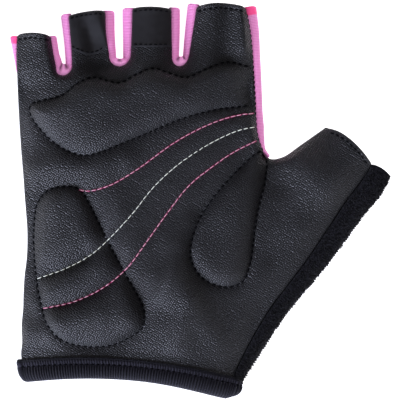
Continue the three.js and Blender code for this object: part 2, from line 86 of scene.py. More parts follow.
CROTCH_LINE = [(25.6, 19), (28.2, 16.9), (33.2, 17.6), (40.8, 22.7), (50.6, 29.6)]
# The same for the outer edge and the index finger's side, from the crotch to the webs
KNUCKLE_ROWS = [
    (-71.9, 22, 23.2, 26), (-72.4, 30, 22.4, 34), (-72.8, 37.6, 22.1, 42), (-73.1, 44.4, 21.6, 50)]
# Sides of the fingers from the web to the tip, with how far the gusset bulges
SIDES = {
    "little_out": [(-73.3, 51.6, 0.35), (-73.5, 59, 1.5), (-73.2, 66.6, 3.4)],
    "little_in": [(-57.6, 53.4, 2.2), (-58.7, 58.8, 2.2), (-59.8, 66, 2.2)],
    "ring_out": [(-51.2, 53.4, 2.8), (-51.5, 61.6, 2.9), (-52.6, 74.2, 3.3)],
    "ring_in": [(-36.4, 58.4, 2.8), (-37.6, 67.2, 3.4), (-37.9, 76.1, 3.6)],
    "middle_out": [(-27.7, 58.4, 3.2), (-27.3, 67.6, 3.7), (-27.1, 77.2, 4.1)],
    "middle_in": [(-11.2, 58.4, 2.8), (-11.4, 67.6, 3.3), (-11.4, 76.9, 3.4)],
    "index_out": [(-4.3, 58.4, 2.6), (-3, 66.8, 3.2), (-1.3, 77.8, 3.8)],
    "index_in": [(21.1, 58.8, 3.1), (20.2, 67.6, 3.6), (18.4, 77.4, 4.3)],
}
# The fingers with the arch of each tip, and how far the stitches of its hem are from the edge
FINGERS = [("little", 0.9), ("ring", 0.7), ("middle", 0.6), ("index", 1.6)]
HEMS = {"little": 2.2, "ring": 1.5, "middle": 1.5, "index": 2.2, "mouth": 1.7}
# Slots between the fingers: how low they reach, how far their bottom leans over, where the gap
# ends, and its creases: how far round the bottom, how deep, how long and how wide
SLOTS = [
    ("little_ring_gusset", "little_in", "ring_out", 50.2, -0.6, 55,
     [(0.27, 1, 1, 1.2), (0.73, 1, 0.85, 1.7)]),
    ("ring_middle_gusset", "ring_in", "middle_out", 53.9, -0.3, 57, [(0.48, 1, 0.65, 1.9)]),
    ("middle_index_gusset", "middle_in", "index_out", 53.9, -0.5, 57.8,
     [(0.3, 1, 0.85, 1.5), (0.76, 1, 0.85, 1)]),
]
# How far each strip stands out past the tip of its finger
BEYOND = {"little_out": -0.4, "little_in": 0.1, "ring_out": 0.9, "ring_in": 0.2,
          "middle_out": 0.2, "middle_in": 0.7, "index_out": 1.1, "index_in": 0.3}
# Ridges and valleys of the leather: both ends, width and height. A search program fitted all 24
# rows to the photo's shading. They were then rounded, and five were changed further.
FOLDS = [
    (-13, -33.5, -5.5, -39.5, 8.1, 1.8), (-28.5, -46.5, -10.5, -53, 8.4, 1.6),
    (-9, -27.5, 6, -55, 5.4, 1.2), (6.5, -17, 22, -44.5, 9, -0.7),
    (11.5, 81.5, 9.5, 59, 4.4, -2.3), (17, 78, 18, 62, 3.4, 1.8),
    (-63.5, 71.5, -56, 52, 5.2, 2.4), (-41, 74, -24.5, 52.5, 4.6, 1.3),
    (-47, 78.5, -42, 56, 4.6, -2.3), (-43.5, 57, -39.5, 62, 6.2, -1.7),
    (25.5, 27.5, 50, 8.5, 9, 2.4), (31.5, 4.5, 25.5, -18.5, 9, -2.2),
    (-65.5, 13, -30.5, 16.5, 5.7, 1.6), (-60.5, 33.5, -46, 19.5, 5.3, -0.8),
    (-64.5, 32, -49.5, 45.5, 5.7, 0.9), (-35, 45.5, -0.5, 50.5, 6.7, 1.5),
    (-41, -45.5, -71.5, -54, 5.2, 1.4), (-39, 9, -18, -34.5, 6.8, 1),
    (-7.5, -47.5, -8.5, -20, 8.3, 2.1), (-15, -38, -3.5, -9.5, 4, 1.2),
    (-60, -27, -46.5, -21, 4.1, -1.4), (8, 43.5, 24.5, 42, 7.3, -1.7),
    (-56, -58, -63.5, -41, 5.1, 1), (-59.5, 46.5, -79.5, 44.5, 5.6, -1.2),
]
# How far each padded area stands up, and its stitched outline, all the way round
PADS = {
    "knuckle_pad": (3.5, [
        (-68.3, 36.6), (-67.2, 38.9), (-62, 40.4), (-55.2, 42.1), (-48.8, 47), (-42.4, 49.4),
        (-37.2, 48.1), (-32, 47.2), (-25.6, 50.4), (-18.8, 52.9), (-12, 51), (-5.6, 49.3),
        (2, 52.4), (10.4, 55.5), (16.8, 54.4), (20.6, 53), (21, 51.6), (21.3, 40.4), (20.7, 38.8),
        (7.2, 36.6), (-7.2, 32.8), (-27.2, 24.5), (-46.4, 18.2), (-57.6, 22.8), (-64.8, 29.8),
        (-67.6, 34)]),
    "heel_pad": (3.6, [
        (-53.6, 5.8), (-58.8, 5.1), (-62.4, 3), (-65.2, -1.2), (-66.3, -7), (-66.6, -19.6),
        (-65.1, -34), (-62.9, -44), (-61.2, -49), (-55.2, -55.5), (-44.8, -58.2), (-34.8, -57.4),
        (-28, -54.4), (-23.4, -51), (-22, -46.8), (-22.6, -42.6), (-25.6, -36.4), (-32, -25.2),
        (-40.2, -9.2), (-46.8, 3.2), (-49.4, 5.2)]),
    "thumb_pad": (3.3, [
        (24.2, 19.6), (22.4, 18.9), (15.2, 12.4), (5.6, 1.6), (-0.4, -7.6), (-3.6, -17.6),
        (-3.6, -23), (-1.6, -27.6), (1.6, -31.2), (6.4, -33.6), (11.6, -34.3), (17.2, -32),
        (20.2, -24.4), (21.6, -13.6), (23.6, -2), (25.9, 7), (26.5, 12), (26.8, 15.4)]),
}
# Coloured stitch lines across the palm
LINES = {
    "stitch_pink_upper": [
        (-48.4, 4.4), (-44.3, 4), (-36.1, 6.2), (-25.9, 12), (-10.6, 23), (0, 28.9), (10, 32.9),
        (17.4, 34.6), (21.9, 35)],
    "stitch_grey": [
        (-65.4, -31.2), (-53.5, -26.9), (-43.3, -21.3), (-35.1, -13.9), (-26.9, -5), (-18.8, 5.2),
        (-8.6, 14.6), (5.1, 23.5), (15.3, 28.1), (22.2, 29.6)],
    "stitch_pink_lower": [
        (-62.9, -43), (-50.4, -40.2), (-38.2, -34.3), (-29, -26.6), (-20.8, -15.6), (-13.2, -5),
        (-4.5, 6), (4, 13), (13.3, 19.4), (22.8, 24.2)],
}
PITCH, STITCH, THREAD = 2.45, 2.15, 0.17  # spacing, visible length and radius of a stitch
FIRST_GAP = 0.3  # clear length at both ends of a line of stitches together
PAD_STITCH, HEM_STITCH, HEM_PITCH = 1.45, 1.4, 2.1
GROOVE = 0.95  # depth of a stitched groove in the leather
NOTCH = 0.22  # how much deeper it is right at the thread
PAD_SINK = 0.6  # how far the leather lies lower under a pad
PAD_CLEAR = 0.06  # from a pad's skin to a thread or to its own underside
SEAM_END = 18.6, 20.0  # x over which the knuckle pad's seam runs in under the pink strip
EDGE_RADIUS = 0.65  # of a turned edge of leather
PEBBLES = 1260.0  # pebbles of the leather to a metre
FULL = 2 * math.pi
BATCH = 2000  # points worked on at a time

rng = np.random.default_rng(11)


# Curves in the plan


def smooth(points, step=0.3, closed=False, per=None):
    """Points along a smooth curve through listed points, about a step apart or `per` to a span."""
    p = np.asarray(points, float)
    ends = (p[-1:], p[:2]) if closed else (2 * p[:1] - p[1:2], 2 * p[-1:] - p[-2:-1])
    p = np.vstack([ends[0], p, ends[1]])
    out = []
    for a, b, c, d in zip(p, p[1:], p[2:], p[3:]):
        k0, k1, k2 = (max(math.dist(u[:2], v[:2]), 1e-6)**0.5 for u, v in ((a, b), (b, c), (c, d)))
        m1 = k1 * ((b - a) / k0 - (c - a) / (k0 + k1) + (c - b) / k1)
        m2 = k1 * ((c - b) / k1 - (d - b) / (k1 + k2) + (d - c) / k2)
        count = per or max(1, math.ceil(math.dist(b[:2], c[:2]) / step))
        t = (np.arange(count) / count)[:, None]
        square, cube = 3 * (c - b) - 2 * m1 - m2, 2 * (b - c) + m1 + m2
        out.append(b + t * m1 + t**2 * square + t**3 * cube)
    return np.vstack(out if closed else out + [p[-2:-1]])


def lengths(path):
    """How far along a path, in the plan, each of its points is."""
    return np.append(0, np.cumsum(np.linalg.norm(np.diff(path[:, :2], axis=0), axis=1)))


def along_path(path, at, along=None):
    """Points at given lengths along a path."""
    along = lengths(path) if along is None else along
    return np.stack([np.interp(at, along, column) for column in path.T], axis=-1)


def resampled(path, step):
    """The path again with points exactly evenly spaced, about a step apart."""
    total = lengths(path)[-1]
    return along_path(path, np.linspace(0, total, max(2, round(total / step) + 1)))


def looped(path):
    return np.vstack([path, path[:1]])


def unit(v):
    return v / np.maximum(np.linalg.norm(v, axis=-1, keepdims=True), 1e-9)


def turned(d):
    """Directions in a plane, turned left by a quarter."""
    d = unit(d)
    return np.column_stack([-d[:, 1], d[:, 0]])


def sideways(path):
    """Which way is to the left of a path in the plan, at each of its points."""
    return turned(np.gradient(path[:, :2], axis=0))


class Track:
    """A line in the plan that distances are measured from."""

    def __init__(self, path, step=0.12):
        self.path = resampled(np.asarray(path, float)[:, :2], step)
        self.along = lengths(self.path)
        self.tree = KDTree(len(self.path))
        for i, (x, y) in enumerate(self.path):
            self.tree.insert((x, y, 0), i)
        self.tree.balance()

    def near(self, points):
        """How far each point is from the line, and how far along the line it is nearest to."""
        found = [self.tree.find((x, y, 0)) for x, y in points[:, :2]]
        return np.array([f[2] for f in found], float), self.along[[f[1] for f in found]]


def inside(points, polygon):
    """Which points lie inside a closed polygon."""
    a, b = polygon, np.roll(polygon, -1, axis=0)
    rise = np.where(b[:, 1] == a[:, 1], 1e-9, b[:, 1] - a[:, 1])
    result = np.zeros(len(points), bool)
    for start in range(0, len(points), BATCH):
        x, y = points[start:start + BATCH, :2].T[..., None]
        left = x < a[:, 0] + (y - a[:, 1]) * (b[:, 0] - a[:, 0]) / rise
        crossed = (((a[:, 1] > y) != (b[:, 1] > y)) & left).sum(axis=1)
        result[start:start + BATCH] = crossed % 2 == 1
    return result


def bowed(a, b, bow, count=40):
    s = np.linspace(0, 1, count)[:, None]
    line = np.asarray(a)[None, :2] * (1 - s) + np.asarray(b)[None, :2] * s
    line[:, 1:] += 4 * bow * s * (1 - s)
    return line


def round_corner(before, after, radius):
    """Joins two paths that meet in a corner, with the corner rounded."""
    a, b = lengths(before), lengths(after)
    keep_a, keep_b = before[a < a[-1] - radius], after[b > radius]
    t = np.linspace(0, 1, 7)[:, None]
    arc = (1 - t)**2 * keep_a[-1] + 2 * t * (1 - t) * after[0] + t**2 * keep_b[0]
    return np.vstack([keep_a, arc[1:-1], keep_b])


def slot_bottom(start, end, bottom, lean):
    angle = np.linspace(0, math.pi, 41)
    a, b = SIDES[start][0], SIDES[end][0]
    x = a[0] + (b[0] - a[0]) * (1 - np.cos(angle)) / 2 + lean * np.sin(angle)
    shoulder = a[1] + (b[1] - a[1]) * (angle / math.pi)
    return np.stack([x, shoulder - (shoulder - bottom) * np.sin(angle)], axis=1)


rows = np.array([(*row, *(ROLL_TURN if i else WRIST_TURN)) for i, row in enumerate(PALM_ROWS)])
knuckles = np.array(KNUCKLE_ROWS)
sides = {name: smooth(points, 0.25) for name, points in SIDES.items()}
little_side = np.vstack([knuckles[:, 0:2], [SIDES["little_out"][0][:2]]])
left_edge = smooth(np.vstack([rows[:, 0:2], little_side]))
index_edge = smooth(np.vstack([rows[-1:, 2:4], knuckles[:, 2:4], [SIDES["index_in"][0][:2]]]))
terry_edge = smooth(rows[:MOUTH_ROW + 1, 4:6])
mouth_edge = smooth(rows[MOUTH_ROW:, 4:6])
crotch_edge = smooth(CROTCH_LINE)
wrist_edge = np.vstack([bowed(rows[0, 0:2], rows[0, 2:4], rows[0, 6]), rows[:1, 4:6]])
bottoms = [slot_bottom(*slot[1:5]) for slot in SLOTS]
tips = [bowed(sides[name + "_out"][-1], sides[name + "_in"][-1], arch) for name, arch in FINGERS]

# The leather by the index strip is drawn in by its stitches, so its edge is scalloped
SCALLOP_PITCH, SCALLOP = 2.1, 0.16
index_run = resampled(np.vstack([index_edge[:-1], sides["index_in"][:, :2]]), 0.2)
scallops = SCALLOP * np.abs(np.sin(math.pi * lengths(index_run) / SCALLOP_PITCH))
index_run[:, 0] += scallops - SCALLOP


def hand_outline(right):
    """The outline from the wrist's left end, round the given right side and the fingers."""
    path = round_corner(right, tips[3][::-1], 1.5)
    for i in (3, 2, 1, 0):
        path = round_corner(path, sides[FINGERS[i][0] + "_out"][::-1, :2], 1.1)
        if i:
            into = sides[FINGERS[i - 1][0] + "_in"][:, :2]
            path = np.vstack([path, bottoms[i - 1][::-1][1:-1], into])
            path = round_corner(path, tips[i - 1][::-1], 1.1)
    return np.vstack([path, left_edge[::-1][1:]])


thumb_run = round_corner(np.vstack([wrist_edge, terry_edge[1:]]), mouth_edge, 0.7)
thumb_run = round_corner(thumb_run, crotch_edge[::-1], 2.2)
palm_outline = hand_outline(np.vstack([thumb_run, index_run[1:]]))
palm_edge = Track(looped(palm_outline))


# The height of the leather, as in the frame's solids


def seam_pieces():
    """Short pieces of every seam: middle, length, and the height of the palm's and back's edge."""
    chains = [
        (smooth(rows[:, 0:2]), TOP_SEAM["heel"], LOW_SEAM["plain"]),
        (smooth(np.vstack([rows[-1:, 0:2], little_side])),
         np.interp(np.linspace(0, 5, 50), range(6), LEFT_SEAM), LOW_SEAM["plain"]),
        (index_edge, TOP_SEAM["finger"], LOW_SEAM["gusset"]),
        (crotch_edge, TOP_SEAM["crotch"], LOW_SEAM["terry"]),
        (terry_edge, TOP_SEAM["terry"], 0),
    ]
    for name, path in sides.items():
        top = TOP_SEAM["little" if name == "little_out" else "finger"]
        chains.append((path, top, LOW_SEAM["gusset"]))
    chains += [(path, TOP_SEAM["web"], LOW_SEAM["gusset"]) for path in bottoms]
    pieces = []
    for path, top, under in chains:
        path = resampled(path[:, :2], 0.5)
        weight = np.linalg.norm(np.diff(path, axis=0), axis=1)
        share, given = np.linspace(0, 1, len(weight)), np.linspace(0, 1, np.size(top))
        top = np.interp(share, given, np.atleast_1d(top))
        middle = (path[1:] + path[:-1]) / 2
        pieces.append(np.column_stack([middle, weight, top, np.full(len(weight), under)]))
    return pieces


pieces = seam_pieces()
UPPER = np.vstack(pieces)
LOWER = np.vstack(pieces[:4] + pieces[5:])


def from_seams(points, pieces):
    """Rounded distance from the seams, and the seams' heights blended the same way."""
    out = []
    for start in range(0, len(points), BATCH):
        p = points[start:start + BATCH]
        square = (p[:, 0, None] - pieces[:, 0])**2 + (p[:, 1, None] - pieces[:, 1])**2
        pull = pieces[:, 2] * (square + 0.06)**-1.5
        total = pull.sum(axis=1)
        out.append(np.column_stack([
            np.sqrt(2 / total), pull @ pieces[:, 3] / total, pull @ pieces[:, 4] / total]))
    return np.vstack(out).T


def raised(flat, z):
    """Points of the plan with their heights."""
    return np.concatenate([flat, np.broadcast_to(z, flat.shape[:-1])[..., None]], axis=-1)


def smoothstep(x, a, b):
    t = np.clip((x - a) / (b - a), 0, 1)
    return t * t * (3 - 2 * t)


def bell(x, width):
    return np.exp(-(x / width)**2)


def cosine(x, period):
    return np.cos(FULL * x / period)


def from_cuff(p):
    """0 in the wrist band, and 1 a little above it."""
    top = CUFF_PEAK[1] - CUFF_CURVE * (p[:, 0] - CUFF_PEAK[0])**2
    return smoothstep(p[:, 1] - top, CUFF_ABOVE + 0.1, CUFF_FADE)


def leather_height(p):
    """The outer skin of the palm, without its stitched grooves."""
    distance, top, _ = from_seams(p, UPPER)
    crown = CROWN * (1 - np.exp(-distance / CROWN_REACH))
    folds = np.zeros(len(p))
    for ax, ay, bx, by, width, rise in FOLDS:
        d = np.array([bx - ax, by - ay], float)
        t = np.clip(((p[:, 0] - ax) * d[0] + (p[:, 1] - ay) * d[1]) / (d @ d), 0, 1)
        folds += rise * bell(np.hypot(p[:, 0] - ax - t * d[0], p[:, 1] - ay - t * d[1]), width)
    return top + crown + folds * np.minimum(1, distance / FOLD_FADE) * from_cuff(p)


def back_height(p):
    """The outer skin of the back."""
    distance, _, under = from_seams(p, LOWER)
    curl = np.maximum(0, 1 - distance / EDGE_ROLL)
    return np.maximum(under * curl**2, (BAND + GAP) * (1 - from_cuff(p)))


def ripple(p, length, count=9):
    """Soft random unevenness between about -1 and 1."""
    total = np.zeros(len(p))
    for _ in range(count):
        angle, phase = rng.uniform(0, FULL, 2)
        k = FULL / (length * rng.uniform(0.7, 1.5))
        total += np.sin(k * (p[:, 0] * math.cos(angle) + p[:, 1] * math.sin(angle)) + phase)
    return total / math.sqrt(count)


# Meshes


def placed(name, data):
    thing = bpy.data.objects.new(name, data)
    bpy.context.scene.collection.objects.link(thing)
    return thing


def make(name, points, faces, look, slot, replaces=(), **attributes):
    """A mesh object from points in millimetres, its faces turned outwards."""
    points = (np.asarray(points, float) + SHIFT) * MM
    faces = [tuple(f) for f in faces]
    tri = np.array([(f[0], f[k], f[k + 1]) for f in faces for k in range(1, len(f) - 1)])
    a, b, c = (points[tri[:, k]] for k in range(3))
    if (a * np.cross(b, c)).sum() < 0:
        faces = [f[::-1] for f in faces]
    mesh = bpy.data.meshes.new(name)
    mesh.from_pydata(points.tolist(), [], faces)
    mesh.polygons.foreach_set("use_smooth", [True] * len(mesh.polygons))
    for key, values in attributes.items():
        layer = mesh.attributes.new(key, "FLOAT", "POINT")
        layer.data.foreach_set("value", np.asarray(values, np.float32))
    mesh.update()
    mesh.materials.append(look)
    thing = placed(name, mesh)
    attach(thing, "root")
    if replaces:
        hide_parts(*replaces)
    return thing


LINE_STEP = 0.6  # between points on the lines of a sheet
LINE_ROWS = ((0.3, 0.25), (0.7, 0.25))  # rows beside the lines, and the least gap between points


def triangulated(outline, lines=(), spacing=0.85, edge_rows=(0.18, 0.45, 0.9)):
    """Points and triangles that fill an outline, with rows of points by its edge and its lines."""
    ring = resampled(looped(outline), 0.55 * spacing / 0.85)[:-1]
    edge = Track(looped(outline))
    fixed = [ring] + [resampled(line, LINE_STEP) for line in lines]
    count = len(ring)
    constraints = [(i, (i + 1) % count) for i in range(count)]
    for path in fixed[1:]:
        constraints += [(count + i, count + i + 1) for i in range(len(path) - 1)]
        count += len(path)
    points, grid = [], {}

    def add(candidates, gap):
        """Adds the candidates that are no nearer than the gap to the points so far."""
        for p in candidates:
            x, y = int(p[0] // 1), int(p[1] // 1)
            cells = ((x + i, y + j) for i in (-1, 0, 1) for j in (-1, 0, 1))
            near = (q for cell in cells for q in grid.get(cell, ()))
            if gap == 0 or all((p[0] - q[0])**2 + (p[1] - q[1])**2 >= gap * gap for q in near):
                points.append(p)
                grid.setdefault((x, y), []).append(p)

    def add_rows(path, way, track, rows, share):
        for distance, gap in rows:
            for side in (distance, -distance):
                row = path + side * way
                row = row[inside(row, outline)]
                add(row[track.near(row)[0] > share * distance], gap)

    add(np.vstack(fixed), 0)
    around = turned(np.roll(ring, -1, axis=0) - np.roll(ring, 1, axis=0))
    add_rows(ring, around, edge, [(d, 0.6 * min(d, 0.4)) for d in edge_rows], 0.93)
    for line, path in zip(lines, fixed[1:]):
        add_rows(path, sideways(path), Track(line), LINE_ROWS, 0.9)
    (x0, y0), (x1, y1) = outline.min(axis=0), outline.max(axis=0)
    gx, gy = np.meshgrid(np.arange(x0, x1, spacing), np.arange(y0, y1, spacing * 0.866))
    gx = gx + (np.arange(gx.shape[0]) % 2)[:, None] * spacing / 2
    lattice = np.column_stack([gx.ravel(), gy.ravel()])
    lattice = lattice[inside(lattice, outline)]
    lattice = lattice + rng.uniform(-0.08, 0.08, lattice.shape) * spacing
    add(lattice[edge.near(lattice)[0] > 0.3 * spacing], 0.62 * spacing)
    found, _, faces, *_ = delaunay_2d_cdt(
        [Vector((x, y)) for x, y in points], constraints, [], 1, 1e-5, False)
    found, faces = np.array([(p.x, p.y) for p in found]), np.array(faces, int)
    on_edge = (edge.near(found)[0] < 0.1)[faces].all(axis=1)
    keep = ~on_edge
    keep[on_edge] = inside(found[faces[on_edge]].mean(axis=1), ring)
    return found, faces[keep]


def make_sheet(name, points, faces, top, bottom, look, slot, replaces, **attributes):
    """A closed body between two heights over the same triangles."""
    edges = np.concatenate([faces[:, [0, 1]], faces[:, [1, 2]], faces[:, [2, 0]]])
    _, index, uses = np.unique(np.sort(edges, axis=1), axis=0, return_index=True,
                               return_counts=True)
    a, b = edges[index[uses == 1]].T
    n = len(points)
    walls = np.column_stack([b, a, a + n, b + n])
    verts = np.vstack([raised(points, top), raised(points, bottom)])
    body = np.concatenate([faces, faces[:, ::-1] + n])
    attributes = {key: np.tile(values, 2) for key, values in attributes.items()}
    return make(name, verts, body.tolist() + walls.tolist(), look, slot, [replaces], **attributes)


def shell(outer, inner, has=None):
    """A closed wall between two grids of points, with cells left out where `has` is false."""
    r, c = outer.shape[0] - 1, outer.shape[1] - 1
    has = np.ones((r, c), bool) if has is None else has
    n = (r + 1) * (c + 1)
    ids = np.arange(n).reshape(r + 1, c + 1)
    a, b, d, e = ids[:-1, :-1], ids[:-1, 1:], ids[1:, 1:], ids[1:, :-1]
    out = np.stack([a, b, d, e], axis=-1)[has]
    faces, around = [out, out[:, ::-1] + n], np.pad(has, 1)
    for i, j, p, q in ((0, 1, a, b), (1, 2, b, d), (2, 1, d, e), (1, 0, e, a)):
        rim = has & ~around[i:r + i, j:c + j]
        faces.append(np.stack([q[rim], p[rim], p[rim] + n, q[rim] + n], axis=-1))
    verts = np.vstack([outer.reshape(-1, 3), inner.reshape(-1, 3)])
    used, faces = np.unique(np.vstack(faces), return_inverse=True)
    return verts[used], faces.reshape(-1, 4).tolist()


def tube(path, radius, around=6):
    """A round closed tube along a path, with points and faces."""
    d = unit(np.gradient(path, axis=0))
    a = unit(np.cross(d, [0.0, 0.0, 1.0] if abs(d[0, 2]) < 0.9 else [1.0, 0.0, 0.0]))
    b = np.cross(d, a)
    radii = np.broadcast_to(radius, len(path))[:, None, None]
    angle = (FULL * np.arange(around) / around)[:, None]
    ring = path[:, None] + radii * (np.cos(angle) * a[:, None] + np.sin(angle) * b[:, None])
    ids = np.arange(len(path) * around).reshape(-1, around)
    p, q = ids[:-1], ids[1:]
    faces = np.stack([p, np.roll(p, -1, axis=1), np.roll(q, -1, axis=1), q], axis=-1)
    caps = [ids[0, ::-1].tolist(), ids[-1].tolist()]
    return ring.reshape(-1, 3), faces.reshape(-1, 4).tolist() + caps


def joined(parts):
    verts, faces, count = [], [], 0
    for v, f in parts:
        verts.append(v)
        faces += [[i + count for i in face] for face in f]
        count += len(v)
    return np.vstack(verts), faces


# Materials


def feed(socket, value):
    """Links an output to a socket, or sets the socket to a number, a colour or a vector."""
    if isinstance(value, bpy.types.NodeSocket):
        socket.id_data.links.new(value, socket)
    elif isinstance(value, tuple) and socket.type == "RGBA":
        socket.default_value = (*value, 1)
    else:
        socket.default_value = value


class Look:
    """A procedural material that is put together step by step."""

    def __init__(self, name, roughness, specular, sheen=0, **settings):
        self.material = bpy.data.materials.new(name)
        self.material.use_nodes = True
        self.tree = self.material.node_tree
        self.shader = self.tree.nodes["Principled BSDF"].inputs
        self.place = self.add("TexCoord", "Object")
        self.normal = None
        settings |= {"Roughness": roughness, "Specular IOR Level": specular, "Sheen Weight": sheen}
        for key, value in settings.items():
            feed(self.shader[key.replace("_", " ")], value)

    def add(self, kind, out, *values, **settings):
        """Adds a node and gives one of its outputs; the values go to its first inputs."""
        made = self.tree.nodes.new("ShaderNode" + kind)
        for key, value in settings.items():
            if hasattr(made, key):
                setattr(made, key, value)
            else:
                feed(made.inputs[key], value)
        for socket, value in zip(made.inputs, values):
            feed(socket, value)
        return made.outputs[out]

    def noise(self, scale, detail=2.0):
        return self.add("TexNoise", "Fac", Vector=self.place, Scale=scale, Detail=detail)

    def cells(self, scale, **more):
        more = {"Vector": self.place, **more}
        return self.add("TexVoronoi", "Distance", Scale=scale, **more)

    def attribute(self, name):
        return self.add("Attribute", "Fac", attribute_name=name)

    def math(self, operation, *values):
        return self.add("Math", 0, *values, operation=operation)

    def times(self, a, b):
        return self.math("MULTIPLY", a, b)

    def wave(self, source, period):
        return self.math("SINE", self.times(source, FULL / period))

    def ramp(self, source, *stops):
        made = self.add("ValToRGB", "Color", source)
        for element, (at, tone) in zip(made.node.color_ramp.elements, stops):
            element.position = at
            element.color = (*(tone if isinstance(tone, tuple) else (tone,) * 3), 1)
        return made

    def blend(self, factor, a, b):
        """From a to b by the factor."""
        made = self.add("Mix", 2, factor, data_type="RGBA")
        feed(made.node.inputs[6], a)
        feed(made.node.inputs[7], b)
        return made

    def bump(self, height, distance, strength=1.0):
        under = {"Normal": self.normal} if self.normal else {}
        self.normal = self.add("Bump", "Normal", Height=height, Distance=distance,
                               Strength=strength, **under)
        feed(self.shader["Normal"], self.normal)

    def colour(self, source):
        feed(self.shader["Base Color"], source)


def leather_look():
    look = Look("pebbled_leather", 0.5, 0.72)
    place = look.add("Mapping", "Vector", Vector=look.place, Rotation=(0, 0, 0.55))
    cells = {"voronoi_dimensions": "2D", "Randomness": 0.5, "Vector": place}
    creases = look.cells(PEBBLES, feature="DISTANCE_TO_EDGE", **cells)
    centres = look.cells(PEBBLES, feature="F1", **cells)
    fine = look.noise(2600.0)
    stitched = look.attribute("crease")
    valley = look.ramp(creases, (0.02, 1.0), (0.24, 0.0))
    tone = look.ramp(look.noise(45.0), (0.35, (0.0060, 0.0056, 0.0068)),
                     (0.65, (0.0082, 0.0077, 0.0092)))
    # The valleys between the pebbles are painted near black: painted shade in the pebbles'
    # valleys.
    tone = look.blend(look.times(valley, 0.85), tone, (0.0008, 0.0008, 0.0010))
    # The leather is painted near black in and along its stitched grooves: painted shade.
    look.colour(look.blend(look.times(stitched, 0.95), tone, (0.0005, 0.0005, 0.0007)))
    gloss = look.ramp(fine, (0.35, 0.29), (0.65, 0.45))
    dull = look.math("MAXIMUM", valley, stitched)
    feed(look.shader["Roughness"], look.blend(dull, gloss, (0.92, 0.92, 0.92)))
    domes = look.times(look.math("POWER", centres, 2.0), -1.0)
    look.bump(domes, 0.00054)
    look.bump(fine, 0.00004, 0.4)
    return look.material


def lycra_look():
    light, deep = (0.80, 0.31, 0.60), (0.60, 0.15, 0.41)
    look = Look("pink_lycra", 0.62, 0.35, 0.35, Sheen_Roughness=0.4, Sheen_Tint=(1.0, 0.85, 0.95))
    courses = look.wave(look.attribute("along"), 0.62)
    wales = look.times(look.wave(look.attribute("across"), 0.45), 0.4)
    knit = look.math("MULTIPLY_ADD", look.math("ADD", courses, wales), 0.25, 0.5)
    tone = look.blend(look.ramp(knit, (0.15, 0.0), (0.75, 1.0)), deep, light)
    # Painted light: the strip is painted a lighter pink near the bottom of each slot.
    tone = look.blend(look.attribute("painted_web_light"), tone, (1.0, 0.43, 0.80))
    tone = look.blend(look.attribute("hem"), tone, (0.90, 0.075, 0.27))
    # Painted shade in the strip's creases and gathers and along its seams.
    look.colour(look.blend(look.times(look.attribute("crease"), 0.9), tone,
                           tuple(0.14 * c for c in deep)))
    look.bump(knit, 0.00012, 0.7)
    look.bump(look.noise(1500.0, 3.0), 0.00010, 0.4)
    return look.material


def terry_look():
    look = Look("black_terry", 0.9, 0.2, 0.05)
    nubs = look.cells(1300.0, feature="SMOOTH_F1", Smoothness=0.3)
    # The nubs are painted lighter on top and darker in the gaps between them: painted shade.
    look.colour(look.ramp(nubs, (0.1, (0.0085, 0.0080, 0.0120)), (0.6, (0.0012, 0.0012, 0.0020))))
    look.bump(look.times(nubs, -1.0), 0.0005, 0.8)
    look.bump(look.noise(2600.0, 4.0), 0.0002, 0.6)
    return look.material


def band_look():
    look = Look("ribbed_band", 0.8, 0.25, 0.06)
    dots = look.cells(1500.0)
    # Painted light and shade of the band: lighter towards its lower rim, darker by its top edge
    # and between the ribs.
    tone = look.blend(look.attribute("rib"), (0.0010, 0.0009, 0.0020), (0.030, 0.029, 0.046))
    speckle = look.times(look.ramp(dots, (0.2, 0.0), (0.6, 1.0)), 0.4)
    look.colour(look.blend(speckle, tone, (0.002, 0.002, 0.004)))
    look.bump(dots, 0.00025, 0.6)
    look.bump(look.noise(2200.0, 3.0), 0.00012, 0.5)
    return look.material


def cloth_look(name, tone, thread, rough, bump):
    look = Look(name, rough, 0.3, 0.05, Sheen_Roughness=0.4)
    warp, weft = (look.wave(look.add("SeparateXYZ", axis, look.place), thread * MM)
                  for axis in ("X", "Y"))
    weave = look.math("MULTIPLY_ADD", look.times(warp, weft), 0.5, 0.5)
    look.colour(look.blend(weave, tuple(0.6 * c for c in tone), tone))
    look.bump(weave, bump, 0.8)
    look.bump(look.noise(90.0, 3.0), 0.0004, 0.4)
    return look.material


def thread_look(name, tone, deep, roughness=0.5, gloss=0.4):
    look = Look(name, roughness, gloss)
    twist = look.noise(3500.0)
    ends = look.ramp(look.attribute("ends"), (0.65, 0.0), (1.0, 1.0))
    # Painted shade: each stitch is painted the darker colour towards its ends, where it sinks into
    # the surface.
    look.colour(look.blend(look.math("MULTIPLY_ADD", twist, 0.2, ends), tone, deep))
    look.bump(twist, 0.00008, 0.6)
    return look.material


LEATHER_LOOK, PINK, TERRY_LOOK, BAND_LOOK = leather_look(), lycra_look(), terry_look(), band_look()
KNIT_LOOK = cloth_look("black_knit", (0.020, 0.020, 0.023), 0.9, 0.8, 0.0002)
TAB_LOOK = cloth_look("smooth_tab", (0.0098, 0.0092, 0.0104), 0.45, 0.72, 0.00006)
BLACK_THREAD = thread_look("black_thread", (0.0014, 0.0014, 0.0022), (0.0006, 0.0006, 0.0009),
                           0.9, 0.1)
PINK_THREAD = thread_look("pink_thread", (0.62, 0.44, 0.48), (0.26, 0.03, 0.11))
# A darker pink thread laid along the pink stitch lines: painted shade of the pink thread.
PINK_SHADE_THREAD = thread_look("pink_shade_thread", (0.26, 0.008, 0.080), (0.14, 0.005, 0.045), 0.75)
GREY_THREAD = thread_look("grey_thread", (0.78, 0.82, 0.72), (0.30, 0.32, 0.28))


# The palm leather and its pads

